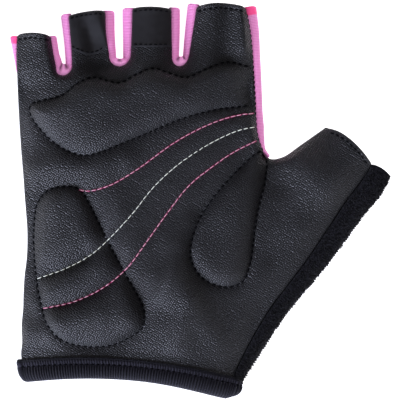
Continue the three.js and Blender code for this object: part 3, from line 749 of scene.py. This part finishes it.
pad_outlines = {name: smooth(points, 0.3, closed=True) for name, (_, points) in PADS.items()}
pad_tracks = {name: Track(looped(path)) for name, path in pad_outlines.items()}
line_paths = {name: smooth(points) for name, points in LINES.items()}
line_tracks = {name: Track(path) for name, path in line_paths.items()}
QUILTING = ("stitch_grey", "stitch_pink_lower")  # the lines across the heel pad


def hem_line(name, arch, distance, ends=0.4):
    """A line of stitches along the tip of a finger, from side to side."""
    out, into = (sides[name + way][:, :2] for way in ("_out", "_in"))
    a, b = (along_path(side, lengths(side)[-1] - distance) for side in (out, into))
    line = bowed(a, b, arch, 60)
    along = lengths(line)
    return line[(along > ends) & (along < along[-1] - ends)]


hems = {name: hem_line(name, arch, HEMS[name]) for name, arch in FINGERS}
mouth = smooth(rows[MOUTH_ROW:, 4:6], 0.5)
hems["mouth"] = (mouth + HEMS["mouth"] * sideways(mouth))[3:-3]


def near_stitches(p, track, length, pitch=PITCH):
    """How far points are from a stitched line, and 1 beside the middle of a stitch down to -1
    midway between two of them."""
    distance, along = track.near(p)
    span = track.along[-1] - FIRST_GAP
    step = span / max(1, round(span / pitch))
    return distance, cosine(along - (FIRST_GAP + length) / 2, step)


# Painted shade along a stitched groove, darkest beside each stitch.
def crease_at(distance, phase):
    return (0.55 + 0.45 * phase) * bell(distance, 0.6)


def seam_shows(name, p):
    """1 along a pad's seam, and 0 where the knuckle pad runs in under the pink strip."""
    return 1 - smoothstep(p[:, 0], *SEAM_END) * (name == "knuckle_pad")


def groove(p):
    """How much of its full height the leather keeps, from 0 in a stitched groove to 1 clear of it,
    and how near a groove each point is, which is also the painted shade along the grooves."""
    keep, crease = np.ones(len(p)), np.zeros(len(p))
    # Each line, the width and depth of its groove, how dark its painted shade is, and its stitches
    lines = [(t, 3, 1, seam_shows(name, p), PAD_STITCH, PITCH) for name, t in pad_tracks.items()]
    lines += [(t, 2.5, 0.8, 0.5, STITCH, PITCH) for t in line_tracks.values()]
    lines += [(Track(path), 1.0, 0.15, 0.9, HEM_STITCH, HEM_PITCH) for path in hems.values()]
    for track, width, depth, dark, length, pitch in lines:
        distance, phase = near_stitches(p, track, length, pitch)
        pucker = 1 + 0.16 * phase * bell(distance, 1.3)
        keep = np.minimum(keep, 1 - depth * np.exp(-(distance / width)**1.25) * pucker)
        crease = np.maximum(crease, dark * crease_at(distance, phase))
    return keep, crease


def edge_drop(p, edge=palm_edge, radius=EDGE_RADIUS):
    """How far a turned edge falls below the surface near an outline."""
    t = np.clip(1 - edge.near(p)[0] / radius, 0, 1)
    return radius * (1 - np.sqrt(1 - np.minimum(t, 0.98)**2))


def groove_depth(p):
    """The grooves are shallower near the outline of the palm."""
    return GROOVE * (0.3 + 0.7 * smoothstep(palm_edge.near(p)[0], 3, 10))


def palm_top(p):
    base = leather_height(p)
    keep, crease = groove(p)
    return base, base - groove_depth(p) * (1 - keep) - NOTCH * crease, crease


def build_palm():
    lines = [resampled(looped(path), LINE_STEP) for path in pad_outlines.values()]
    lines += [*line_paths.values(), hems["little"], hems["index"], hems["mouth"]]
    points, faces = triangulated(palm_outline, lines)
    base, top, crease = palm_top(points)
    under = np.zeros(len(points))
    for name, path in pad_outlines.items():
        clear = smoothstep(pad_tracks[name].near(points)[0], 0.2, 1.6)
        under = np.maximum(under, inside(points, path) * clear)
    rough = 0.12 * ripple(points, 13.0) + 0.02 * ripple(points, 5.0)
    fade = np.clip(palm_edge.near(points)[0] / 3, 0, 1) * from_cuff(points)
    top = top + rough * fade * (1 - crease) - 0.55 * under - edge_drop(points)
    bottom = np.minimum(base - LEATHER - PAD_SINK * under, top - 0.35)
    return make_sheet("palm_panel_leather", points, faces, top, bottom, LEATHER_LOOK, "leather",
                      "palm_panel", crease=crease)


def pad_rise(name, p):
    """How far a pad stands above the leather's own height."""
    rise = PADS[name][0]
    if name == "knuckle_pad":
        rise = rise * (1 - 0.8 * bell(p[:, 0] - 22, 8))
    distance, phase = near_stitches(p, pad_tracks[name], PAD_STITCH)
    swell = (1 - np.exp(-(distance / 3.0)**1.2)) * (1 - 0.12 * phase * bell(distance, 1.2))
    # Painted shade along the pad's stitched outline and its quilting lines.
    channel, crease = np.ones(len(p)), crease_at(distance, phase)
    for line in QUILTING if name == "heel_pad" else ():
        away, along = line_tracks[line].near(p)
        dip = 1 + 0.10 * cosine(along, PITCH) * bell(away, 1.2)
        channel = np.minimum(channel, 1 - 0.72 * np.exp(-(away / 2.7)**1.3) * dip)
        crease = np.maximum(crease, 0.9 * bell(away, 0.45))
    crease = crease * seam_shows(name, p)
    depth = groove_depth(p)
    height = -depth - NOTCH * crease + (depth + rise - PAD_SINK) * swell * channel
    return height, crease, distance


def build_pad(name):
    outline, lines = pad_outlines[name], []
    for path in (line_paths[key] for key in QUILTING if name == "heel_pad"):
        clear = pad_tracks[name].near(path)[0] > 0.5
        lines.append(path[inside(path, outline) & clear])
    points, faces = triangulated(outline, lines, 0.75, edge_rows=(0.25, 0.6, 1.0))
    base = leather_height(points)
    rise, crease, distance = pad_rise(name, points)
    top = base + rise + 0.07 * ripple(points, 12.0) * np.clip(distance / 3, 0, 1) + 0.03
    bottom = np.minimum(base - 0.42 - 0.5 * bell(distance, 0.8), top - PAD_CLEAR)
    return make_sheet(name + "_leather", points, faces, top, bottom, LEATHER_LOOK, "leather", name,
                      crease=crease)


palm = build_palm()
pads = {name: build_pad(name) for name in PADS}


# The back of the hand and the terry thumb


def build_back():
    seam = smooth(rows[:, 2:4]) - [GAP, 0]
    right = np.vstack([bowed(rows[0, 0:2], seam[0], rows[0, 6]), seam[1:],
                       index_edge[1:-1], sides["index_in"][:, :2]])
    points, faces = triangulated(hand_outline(right), [], 1.8, edge_rows=(0.6, 1.4))
    low = back_height(points)
    return make_sheet("back_panel_knit", points, faces, low + KNIT, low, KNIT_LOOK, "knit",
                      "back_panel")


def roll_section(bulge, base, angle, depth=0.0):
    """How far out and how high the terry's roll is, at angles from below to above."""
    reach = GAP + np.maximum(bulge - GAP - depth, 0.05) * np.cos(angle)
    return reach, ROLL_MIDDLE + base + (ROLL_MIDDLE - base - depth) * np.sin(angle)


back = build_back()
SPAN = 14  # rows of points between two rows of the pattern
FLAT = 29  # columns of points under the thumb, before the roll


def terry_grid(depth):
    """A skin of the terry: the part under the thumb, then the roll round its outer side."""
    columns = rows[:, [2, 3, 4, 5, 7, 8, 9]]
    lower_rows = smooth(columns[:MOUTH_ROW + 1], per=SPAN)
    table = np.vstack([lower_rows[:-1], smooth(columns[MOUTH_ROW:], per=SPAN)])
    row, corner = np.arange(len(table)), len(lower_rows) - 1
    s = np.linspace(0, 1, FLAT)[None, :, None]
    flat = table[:, None, 0:2] * (1 - s) + table[:, None, 2:4] * s
    # Near the thumb's crotch the rows bend into its curve
    weight = np.clip((row - (len(table) - SPAN - 1)) / SPAN, 0, 1)**1.5
    crotch = along_path(crotch_edge, s[0, :, 0], np.linspace(0, 1, len(crotch_edge)))
    flat = flat + weight[:, None, None] * (crotch - flat[-1])[None]
    z = back_height(flat.reshape(-1, 2)).reshape(flat.shape[:2]) + depth
    base = (back_height(table[:, 2:4]) / 2)[:, None]
    angle = math.pi * (np.linspace(0, 1, 41)[1:] - 0.5)
    reach, height = roll_section(table[:, 4:5], base, angle, depth)
    share = reach / np.maximum(reach.max(axis=1, keepdims=True), 1e-6)
    near_end = np.clip((row[:, None] - corner) / SPAN + 1, 0, 1)**2
    swell = near_end * (0.8 * np.sin(math.pi * share) + 0.3 * share)
    x = table[:, 2:3] + table[:, 5:6] * reach - table[:, 6:7] * swell
    y = table[:, 3:4] + table[:, 6:7] * reach + table[:, 5:6] * swell
    roll = np.stack([x, y, height], axis=-1)
    return np.concatenate([raised(flat, z), roll], axis=1), corner


def build_terry():
    outer, corner = terry_grid(0.0)
    n, m = outer.shape[:2]
    has = np.ones((n - 1, m - 1), bool)
    has[corner:, FLAT - 1:] = False
    normals = unit(np.cross(np.gradient(outer, axis=0), np.gradient(outer, axis=1)))
    if normals[5, -12] @ [0.8, -0.5, 0.3] < 0:
        normals = -normals
    points = outer.reshape(-1, 3)
    unrolled = points[:, :2] + points[:, 2:] * [1.1, -0.9]
    lumps = (0.05 * ripple(unrolled, 3.2, 14) + 0.06 * ripple(unrolled, 1.7, 14)).reshape(n, m)
    on_roll = np.clip((np.arange(m) - FLAT - 5) / 6, 0, 1)
    outer = outer + normals * (lumps * on_roll)[..., None]
    verts, faces = shell(outer, terry_grid(TERRY)[0], has)
    thing = make("terry_thumb_cloth", verts, faces, TERRY_LOOK, "terry", ["terry_thumb"])
    return thing, outer, normals, corner


def build_loops(skin, normals, corner, count=3600):
    """Small loops of yarn that stand out of the terry roll."""
    parts = []
    for _ in range(count):
        i = int(rng.uniform(2, corner - 1))
        j = int(rng.uniform(FLAT + 3, skin.shape[1] - 2))
        base, normal = skin[i, j], normals[i, j]
        side = unit(np.cross(normal, rng.normal(size=3)))
        spread, height = rng.uniform(0.16, 0.32), rng.uniform(0.15, 0.42)
        jitter = rng.normal(size=3) * 0.15
        # Across the loop in shares of its spread, and how high
        arch = ((-1, -0.3), (-0.9, height * 0.6), (0, height), (0.9, height * 0.6), (1, -0.3))
        path = [base + side * spread * across + normal * up for across, up in arch]
        parts.append(tube(np.array(path) + jitter, 0.12, 4))
    verts, faces = joined(parts)
    verts[:, 2] = np.maximum(verts[:, 2], 0.02 + 0.05 * rng.random(len(verts)))
    return make("terry_loops", verts, faces, TERRY_LOOK, "terry")


terry, *terry_skin = build_terry()
loops = build_loops(*terry_skin)


# The gussets

STRIP_MIDDLE, STRIP_HALF = 4.55, 3.25  # height of a strip's middle, and half its own height
COLUMN = 0.42  # width of one column of a strip's points
NOWHERE = (-9, -8)  # before the start of a strip


def build_gusset(name, path, inner=None, creases=(), hem=NOWHERE):
    """A strip that bulges from the edge of the leather; its path has the hand on its right. The
    bulge reaches to the line `inner` or, without one, as far as the path's third column says. The
    strip is hot pink between the two distances along it in `hem`."""
    if inner is None:
        path = resampled(path, 0.3)
        path, reach, way = path[:, :2], path[:, 2], sideways(path)
    else:
        both = resampled(np.column_stack([path, inner]), 0.3)
        path, way = both[:, :2], both[:, 2:] - both[:, :2]
        reach, way = np.linalg.norm(way, axis=1), unit(way)
    along = lengths(path)
    from_end = np.minimum(along, along[-1] - along)
    reach = reach * (1 - 0.22 * np.clip(1 - from_end / 0.9, 0, 1)**2)
    near_web = np.zeros(len(path))
    if creases:
        near_web = np.exp(-((along - np.mean([c[0] for c in creases])) / 3.4)**4)
    # Half a section, from under the leather, round the bulge, to over the back: shares of the
    # reach, and heights. Then the waves, creases and gathers along the strip.
    angle = np.linspace(math.pi / 2, -math.pi / 2, 22)
    share = np.abs(np.cos(angle))**0.72
    height = STRIP_MIDDLE + STRIP_HALF * np.sign(np.sin(angle)) * np.abs(np.sin(angle))**0.92
    s, web = along[:, None], near_web[:, None]
    wave = 0.05 * np.sin(s * 2.3 + 3 * share) + 0.04 * np.sin(s * 5.1 + share)
    mark = np.zeros(wave.shape)
    for at, deep, length, width in creases:
        inwards = smoothstep(share, 1 - length, 1 - 0.4 * length) * (height > 3)
        mark = np.maximum(mark, deep * inwards * bell(s - at, width))
    gather = 0.10 * cosine(s, 1.15) * web * share
    lift = 0.7 * web * smoothstep(height, 4.0, 7.0) * smoothstep(share, 0, 0.4)
    skins = []
    for depth in (0.0, GUSSET):
        bulge = np.maximum(reach - depth, 0.12)[:, None] * share
        flat = path[:, None] + way[:, None] * bulge[..., None]
        z = STRIP_MIDDLE + (height - STRIP_MIDDLE) * (1 - depth / STRIP_HALF * 0.75) + wave + lift
        z = z + gather * (height > STRIP_MIDDLE) - 0.9 * mark
        tuck = raised(path - way * 1.0, 6.75 - 0.4 * depth)[:, None]
        foot = raised(path - way * 0.6, 1.45 + 0.4 * depth)[:, None]
        skins.append(np.concatenate([tuck, raised(flat, z), foot], axis=1))
    verts, faces = shell(*skins)
    count = len(share) + 2
    # Painted shade: the strip is painted dark in its creases, in the hollows of its gathers, along
    # its seam under the edge of the leather and at its far edge.
    dark = np.pad(np.maximum(mark, 0.25 * (gather < -0.05)), ((0, 0), (1, 1)), constant_values=1)
    dark = np.maximum(dark, 0.9 * bell(np.arange(count), 1.1))
    hot = smoothstep(along, hem[0], hem[0] + 0.3) * (1 - smoothstep(along, hem[1] - 0.3, hem[1]))
    # The bottom of each slot is painted a lighter pink: painted light.
    spread = {key: np.tile(np.repeat(values, count), 2)
              for key, values in {"along": along, "hem": hot, "painted_web_light": 0.8 * near_web}.items()}
    return make(name + "_lycra", verts, faces, PINK, "pink_lycra", [name],
                crease=np.tile(dark.ravel(), 2),
                across=np.tile(np.arange(count) * COLUMN, 2 * len(path)), **spread)


def lengthened(name):
    """A finger's side, as much longer at its tip as the strip stands out past it."""
    side, extra = sides[name], BEYOND[name]
    along = lengths(side)
    if extra < 0:
        return side[along <= along[-1] + extra]
    d = side[-1] - side[-4]
    return np.vstack([side, side[-1:] + d / np.linalg.norm(d[:2]) * extra * [1, 1, 0]])


def slot_inner(down, web, up, gap_end):
    """The line that a slot's bulges reach to: down one side, round its end and up the other."""
    rise, parts = gap_end + 0.4, []
    for side, shoulder in ((down, down[-1, 1]), (up, up[0, 1])):
        line = side[:, :2] + sideways(side) * side[:, 2:3]
        line[:, 1] += (rise - shoulder) * (1 - smoothstep(line[:, 1] - shoulder, 0, 7.0))
        parts.append(line)
    angle = np.linspace(0, math.pi, len(web))
    a, b = parts[0][-1], parts[1][0]
    x = a[0] + (b[0] - a[0]) * (1 - np.cos(angle)) / 2
    y = a[1] + (b[1] - a[1]) * angle / math.pi - (rise - gap_end) * np.sin(angle)
    return np.vstack([parts[0], np.column_stack([x, y])[1:-1], parts[1]])


for (name, start, end, bottom, lean, gap_end, creases), web in zip(SLOTS, bottoms):
    down, up = lengthened(start)[::-1], lengthened(end)
    first, span = lengths(down)[-1], lengths(web)[-1]
    build_gusset(
        name, np.vstack([down[:, :2], web[1:-1], up[:, :2]]), slot_inner(down, web, up, gap_end),
        [(first + share * span, *rest) for share, *rest in creases])

# How far the strip at the index finger's outer side bulges, by the distance from the crotch
INDEX_BULGE = ([0, 3, 6, 11, 18, 25, 33, 60], [1.2, 1.6, 2.5, 3.1, 2.9, 2.9, 3.1, 3.1])
bulges = np.interp(lengths(index_edge), *INDEX_BULGE)
index_path = np.vstack([
    lengthened("index_in")[::-1], np.column_stack([index_edge, bulges])[::-1][1:-1],
    [(25.1, 20.4, 1.2), (27.6, 17.6, 0.8)]])
build_gusset("index_side_gusset", index_path, hem=(-1.0, 3.7))
little_path = lengthened("little_out")
build_gusset(
    "little_side_gusset", little_path, hem=(lengths(little_path)[-1] - 3.2, 99.0))


# The wrist band

# How far the band stands out at the outer side of the hand, by the depth behind its front edge
SIDE_SWELL = ([0.85, 1.5, 4.2, 6.6, 8.2, 9.2, 9.75], [1.9, 2.4, 2.6, 2.6, 2.0, 1.2, 0.0])
# The section: how far behind the front edge, how far out from the walls, how strong the ribs, and
# how light it is painted (painted light and shade). The first 20 rows are the outside.
BAND_SECTION = [
    (1, 0.2, 0, 0), (0.85, 0.35, 0, 0), (1.05, 0.5, 0, 0.05), (1.4, 0.56, 0, 0.1),
    (1.7, 0.56, 0.1, 0.05), (1.85, 0.56, 0.2, 0.1), (2.1, 0.68, 0.7, 0.6), (2.5, 0.8, 0.8, 0.75),
    (3.05, 0.8, 0.8, 0.75), (3.45, 0.72, 0.6, 0.7), (3.7, 0.62, 0.4, 0.65), (3.95, 0.7, 0.4, 0.6),
    (4.2, 0.96, 0.8, 0.35), (4.8, 1.26, 1, 0.25), (5.8, 1.5, 1, 0.35), (6.9, 1.56, 1, 0.45),
    (7.8, 1.4, 1, 0.6), (8.6, 1.1, 1, 0.75), (9.2, 0.65, 1, 0.9), (9.6, 0.1, 1, 1),
    (9.75, -0.6, 1, 1), (9.5, -1.2, 0.8, 0.6), (8.9, -1.5, 0, 0.2), (8.75, -0.9, 0, 0),
    (8.75, -0.1, 0, 0), (8.4, 0.15, 0, 0), (4, 0.15, 0, 0)]
OUTSIDE = 20
RIB, RIB_POINTS, RIB_HEIGHT = 1.12, 6, 0.27
TOPSTITCH = 3.8  # how far the band's stitches are behind its front edge


def wrist_line(data):
    """The closed line round the wrist opening at a row of the pattern."""
    top = np.vstack([bowed(data[0:2], data[2:4], data[6], 120)[:-1],
                     bowed(data[2:4], data[4:6], 0, 24)])
    lower = raised(top[::-1], back_height(top[::-1]))
    angle = math.pi * (np.linspace(1, 0, 22)[1:-1] - 0.5)
    reach, height = roll_section(data[7], lower[0, 2] / 2, angle)
    roll = np.column_stack([data[4] + data[8] * reach, data[5] + data[9] * reach, height])
    return np.vstack([raised(top, leather_height(top)), roll, lower])


band_lines = [looped(wrist_line(rows[row])) for row in (1, 0)]
band_along = lengths(band_lines[0][:, [0, 2]])
BAND_LENGTH = band_along[-1]
RIBS = round(BAND_LENGTH / RIB)
band_at = np.linspace(0, BAND_LENGTH, RIBS * RIB_POINTS, endpoint=False)
band_near, band_far = (along_path(line, band_at, band_along) for line in band_lines)


def band_rim(depth):
    """The line round the walls so far behind the band's front edge, and the ways out from it."""
    line = band_near + (band_far - band_near) * ((depth + CUFF_ABOVE) / (CUFF_HEM + CUFF_ABOVE))
    line[:, 1] -= 0.8 * smoothstep(line[:, 0], -25, 12) * smoothstep(depth, 4, 9.5)
    return line, turned((np.roll(line, -3, axis=0) - np.roll(line, 3, axis=0))[:, [0, 2]])


def build_band():
    phase = np.cos(FULL * band_at / BAND_LENGTH * RIBS + 0.9 * np.sin(FULL * band_at / 9.7))
    columns, painted_shading = [], []
    for i, (depth, out, strength, tone) in enumerate(BAND_SECTION):
        line, n = band_rim(depth)
        side_on = np.maximum(0, -n[:, 0])**2 * (0 < i < OUTSIDE)
        swell = (np.interp(depth, *SIDE_SWELL) - out) * side_on
        distance = out + swell + RIB_HEIGHT * strength * phase
        height = np.maximum(line[:, 2] + n[:, 1] * distance, 0.02 + 0.02 * (1 + phase))
        columns.append(np.column_stack([line[:, 0] + n[:, 0] * distance, line[:, 1], height]))
        # Painted shade in the valleys between the ribs, on top of the painted light and shade of
        # the section.
        painted_shading.append(tone * (1 - strength * 0.95 * np.clip(0.55 - 0.75 * phase, 0, 1)))
    a = np.arange(len(band_at) * len(columns)).reshape(len(band_at), -1)
    b, e = np.roll(a, -1, axis=1), np.roll(a, -1, axis=0)
    faces = np.stack([a, b, np.roll(b, -1, axis=0), e], axis=-1).reshape(-1, 4).tolist()
    return make("wrist_band_ribbed", np.stack(columns, axis=1).reshape(-1, 3), faces, BAND_LOOK,
                "ribbed_band", ["wrist_band"], rib=np.stack(painted_shading, axis=1).ravel())


band = build_band()


# The pull tabs

TAB = 0.72  # height of a tab's top over the leather
# The finger, how far from the tip the two lower corners are, the arch of the top, and the bottom
TABS = {
    "ring_pull_tab": ("ring", 13.4, 14.2, 0.7, [(-48, 59.4), (-44.4, 58.5), (-40.6, 59.3)]),
    "middle_pull_tab": ("middle", 15.6, 15.2, 0.6, [(-19.3, 61.4)]),
}


def tab_outline(key, lift=0, top_gap=0.35, side_gap=0.15):
    """The outline of a tab, or of one whose bottom is lifted."""
    name, low_out, low_in, arch, sag = TABS[key]
    edges = []
    for side, low, gap in (("_out", low_out, side_gap), ("_in", low_in, -side_gap)):
        path = sides[name + side][:, :2]
        back = np.linspace(top_gap, low - lift, 24)
        edges.append(along_path(path, lengths(path)[-1] - back) + [gap, 0])
    left, right = edges[0], edges[1][::-1]
    bottom = smooth([left[-1], *((x, y + lift) for x, y in sag), right[0]])
    top = bowed(right[-1], left[0], arch)
    return round_corner(np.vstack([left, bottom[1:-1], right]), top, 0.9)[:-1]


def tab_height(key, p):
    """The top of a tab over the leather, with the soft folds of the ring finger's tab."""
    top = leather_height(p) - edge_drop(p) + TAB
    if key == "ring_pull_tab":
        x = p[:, 0] - (-44.6 + (70 - p[:, 1]) * 0.16)
        folds = 0.5 * bell(x + 4.6, 2.2) - 0.5 * bell(x, 1.8) + 0.5 * bell(x - 5.2, 2.4)
        top += smoothstep(77 - p[:, 1], 2, 9) * folds
        top += 0.5 * bell(np.hypot(p[:, 0] + 43.6, (p[:, 1] - 60.2) * 1.6), 3.0)
    return top + 0.05 * ripple(p, 4.0)


def build_tab(key):
    outline = tab_outline(key)
    points, faces = triangulated(outline, [], 0.6, edge_rows=(0.15, 0.4))
    top = tab_height(key, points) - edge_drop(points, Track(looped(outline)), 0.5)
    bottom = np.minimum(leather_height(points) - edge_drop(points) + 0.04, top - 0.15)
    return make_sheet(key + "_cloth", points, faces, top, bottom, TAB_LOOK, "tab_cloth", key)


tabs = {key: build_tab(key) for key in TABS}


# Stitches

ENDLESS = 1e9
INDEX_STITCHES = 8.15  # height of the stitches by the strip at the index finger's outer side


def surface(p):
    """The height of whatever lies on top at each point of the palm."""
    z = palm_top(p)[1] - edge_drop(p)
    for name, outline in pad_outlines.items():
        within = inside(p, outline)
        if within.any():
            pad = leather_height(p[within]) + pad_rise(name, p[within])[0] + PAD_CLEAR
            z[within] = np.maximum(z[within], pad)
    return z


def stitch_run(name, path, look, slot, height=surface, lift=0.10, radius=THREAD, pitch=PITCH,
               length=STITCH, wander=0.05, closed=False, until=ENDLESS):
    """A line of stitches: short arched threads whose ends sink into the surface. Those past the
    x of `until` are left out."""
    track = Track(looped(path) if closed else path)
    total = track.along[-1]
    count = max(1, round((total - FIRST_GAP) / pitch))
    step = (total - FIRST_GAP) / count
    t = np.linspace(0, 1, 7)
    middling = np.abs(2 * t - 1)
    starts = FIRST_GAP / 2 + step * np.arange(count) + rng.normal(size=count) * wander
    s = starts[:, None] + t * min(length, step * 0.92)
    plan = along_path(track.path, s.ravel(), track.along)
    slant = (rng.normal(size=count) * 0.05)[:, None] * (t - 0.5)
    plan = plan + sideways(plan) * slant.ravel()[:, None] * 2
    z = height(plan).reshape(count, len(t))
    z = np.maximum(z, (z[:, :1] * (1 - t) + z[:, -1:] * t) - 0.02) + lift - 0.30 * middling**6
    lines = raised(plan.reshape(count, len(t), 2), z)
    parts = [tube(line, radius * (1 - 0.25 * middling**3)) for line in lines if line[0, 0] < until]
    verts, faces = joined(parts)
    ends = np.tile(np.repeat(middling, 6), len(parts))
    make(name, verts, faces, look, slot, ends=ends)


# Each pink line also gets a thin darker pink thread along its whole groove, under the stitches:
# painted shade.
for key in ("stitch_pink_upper", "stitch_pink_lower"):
    stitch_run(key, line_paths[key], PINK_THREAD, "pink_lycra", lift=0.20)
    stitch_run(key + "_painted_shade", line_paths[key], PINK_SHADE_THREAD, "pink_lycra", lift=-0.02,
               radius=0.36, length=2.4, wander=0)
stitch_run("stitch_grey", line_paths["stitch_grey"], GREY_THREAD, "tab_cloth")
for key, path in pad_outlines.items():
    stitch_run("stitch_" + key, path, BLACK_THREAD, "leather", closed=True, lift=0.12, radius=0.26,
               length=PAD_STITCH, until=19.4 if key == "knuckle_pad" else ENDLESS)
for key in ("little", "index", "mouth"):
    stitch_run("stitch_hem_" + key, hems[key], BLACK_THREAD, "leather", radius=0.26,
               pitch=HEM_PITCH, length=HEM_STITCH)
stitch_run("stitch_index_side", np.vstack([index_edge[4:-1], sides["index_in"][:-6, :2]]),
           BLACK_THREAD, "leather", lift=0, radius=0.2, pitch=HEM_PITCH, length=1.1,
           height=lambda p: np.full(len(p), INDEX_STITCHES))
for key, (finger, *_, sag) in TABS.items():
    line, outline = tab_outline(key, 1.0), tab_outline(key)
    line = line[line[:, 1] < min(y for _, y in sag) + 3.4]
    line = line[np.argsort(line[:, 0])]
    first, last = outline[:, 0].min() + 0.8, outline[:, 0].max() - 0.8
    line = line[(line[:, 0] > first) & (line[:, 0] < last)]
    for name, path in ((key, line), ("top_" + key, hems[finger])):
        stitch_run("stitch_" + name, path, BLACK_THREAD, "tab_cloth", lift=0.08, radius=0.22,
                   pitch=2, length=1.3, height=lambda p: tab_height(key, p))

WELT_FROM, WELT_TO, WELT_INSET, WELT_LAP, WELT_WIDE = -65, 51, 1.2, 0.35, 0.8


def build_side_seam(around=12):
    """The rolled seam that joins the palm to the back along the outer side of the hand."""
    path = resampled(left_edge, 0.8)
    path = path[(path[:, 1] > WELT_FROM) & (path[:, 1] < WELT_TO)] + [WELT_INSET, 0]
    over = leather_height(path) - edge_drop(path) - LEATHER
    under = back_height(path) + KNIT
    wave = 0.06 * cosine(lengths(path), PITCH)
    radius = np.maximum((over - under) / 2, 0) + WELT_LAP + wave
    verts, faces = tube(raised(path, (over + under) / 2), radius, around)
    middle, narrow = (np.repeat(v, around, axis=0) for v in (path, WELT_WIDE / radius))
    verts[:, :2] = middle + (verts[:, :2] - middle) * narrow[:, None]
    make("side_seam_welt", verts, faces, KNIT_LOOK, "knit")


def build_topstitch():
    """The sewn line along the wrist band, on the palm side and round the thumb side."""
    line, normal = band_rim(TOPSTITCH)
    step = round(2.3 / (BAND_LENGTH / len(band_at)))
    parts = []
    for i in range(0, len(line) - step, step):
        ids = np.arange(i, i + int(step * 0.62) + 1, 2)
        arch = 0.9 - 0.3 * np.abs(np.linspace(-1, 1, len(ids)))**3
        out = (arch + 1.5 * np.maximum(0, -normal[ids, 0])**2)[:, None] * normal[ids]
        parts.append(tube(line[ids] + np.insert(out, 1, 0, axis=1), 0.30, 5))
    verts, faces = joined(parts)
    return make("stitch_wrist_band", verts, faces, BLACK_THREAD, "ribbed_band",
                ends=np.zeros(len(verts)))


build_side_seam()
topstitch = build_topstitch()


# The sizes of the cut cloth

# The strips of the gussets: their widths and lengths
STRIPS = {"little_ring_gusset": (0.0105, 0.045), "ring_middle_gusset": (0.0112, 0.051),
          "middle_index_gusset": (0.0110, 0.0525), "index_side_gusset": (0.0114, 0.0635),
          "little_side_gusset": (0.0100, 0.0145)}
for key, flat in STRIPS.items():
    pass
TAB_CUTS = {"ring_pull_tab": (0.0150, 0.0175), "middle_pull_tab": (0.0160, 0.0160)}
for key, flat in TAB_CUTS.items():
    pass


# The floor, the light and the camera

floor_mesh = bpy.data.meshes.new("floor")
floor_mesh.from_pydata([(-3, -3, 0), (3, -3, 0), (3, 3, 0), (-3, 3, 0)], [], [(0, 1, 2, 3)])
floor_look = Look("pale_floor", 0.8, 0.1, Emission_Color=(1, 1, 1), Emission_Strength=0.75)
floor_look.colour(floor_look.ramp(floor_look.noise(6.0), (0.0, 0.93), (1.0, 0.95)))
floor_mesh.materials.append(floor_look.material)
floor = placed("floor", floor_mesh)

scene = bpy.context.scene
scene.world = bpy.data.worlds.new("studio")
scene.world.use_nodes = True
background = scene.world.node_tree.nodes["Background"].inputs
background["Color"].default_value = (1.0, 0.98, 0.98, 1)
background["Strength"].default_value = 0.09
scene.view_settings.view_transform = "Standard"


def softbox(name, azimuth, elevation, distance, size, watts, colour):
    """A square soft light aimed at the glove; azimuth 0 is to the right, 90 to the fingers."""
    data = bpy.data.lights.new(name, "AREA")
    data.shape, data.size, data.energy, data.color = "SQUARE", size, watts, colour
    lamp = placed(name, data)
    a, e = math.radians(azimuth), math.radians(elevation)
    way = Vector((math.cos(a) * math.cos(e), math.sin(a) * math.cos(e), math.sin(e)))
    lamp.location = way * distance
    lamp.rotation_euler = (-lamp.location).to_track_quat("-Z", "Y").to_euler()
    return lamp


softbox("key", 236, 24, 1.3, 0.45, 28.5, (0.74, 0.79, 1.0))
softbox("overhead", 55, 60, 1.6, 2.0, 32.0, (0.98, 0.95, 1.0)).visible_glossy = False

FRAMED, FRAMED_HEIGHT, FAR = 0.16, 0.009, 1.0  # width in view, at what height, and from how far
camera_data = bpy.data.cameras.new("camera")
camera_data.sensor_width = 36
camera_data.lens = camera_data.sensor_width * FAR / FRAMED
camera_data.clip_end = 20
scene.camera = placed("camera", camera_data)
scene.camera.location = (SHIFT[0] * MM, SHIFT[1] * MM + 0.0004, FAR + FRAMED_HEIGHT)
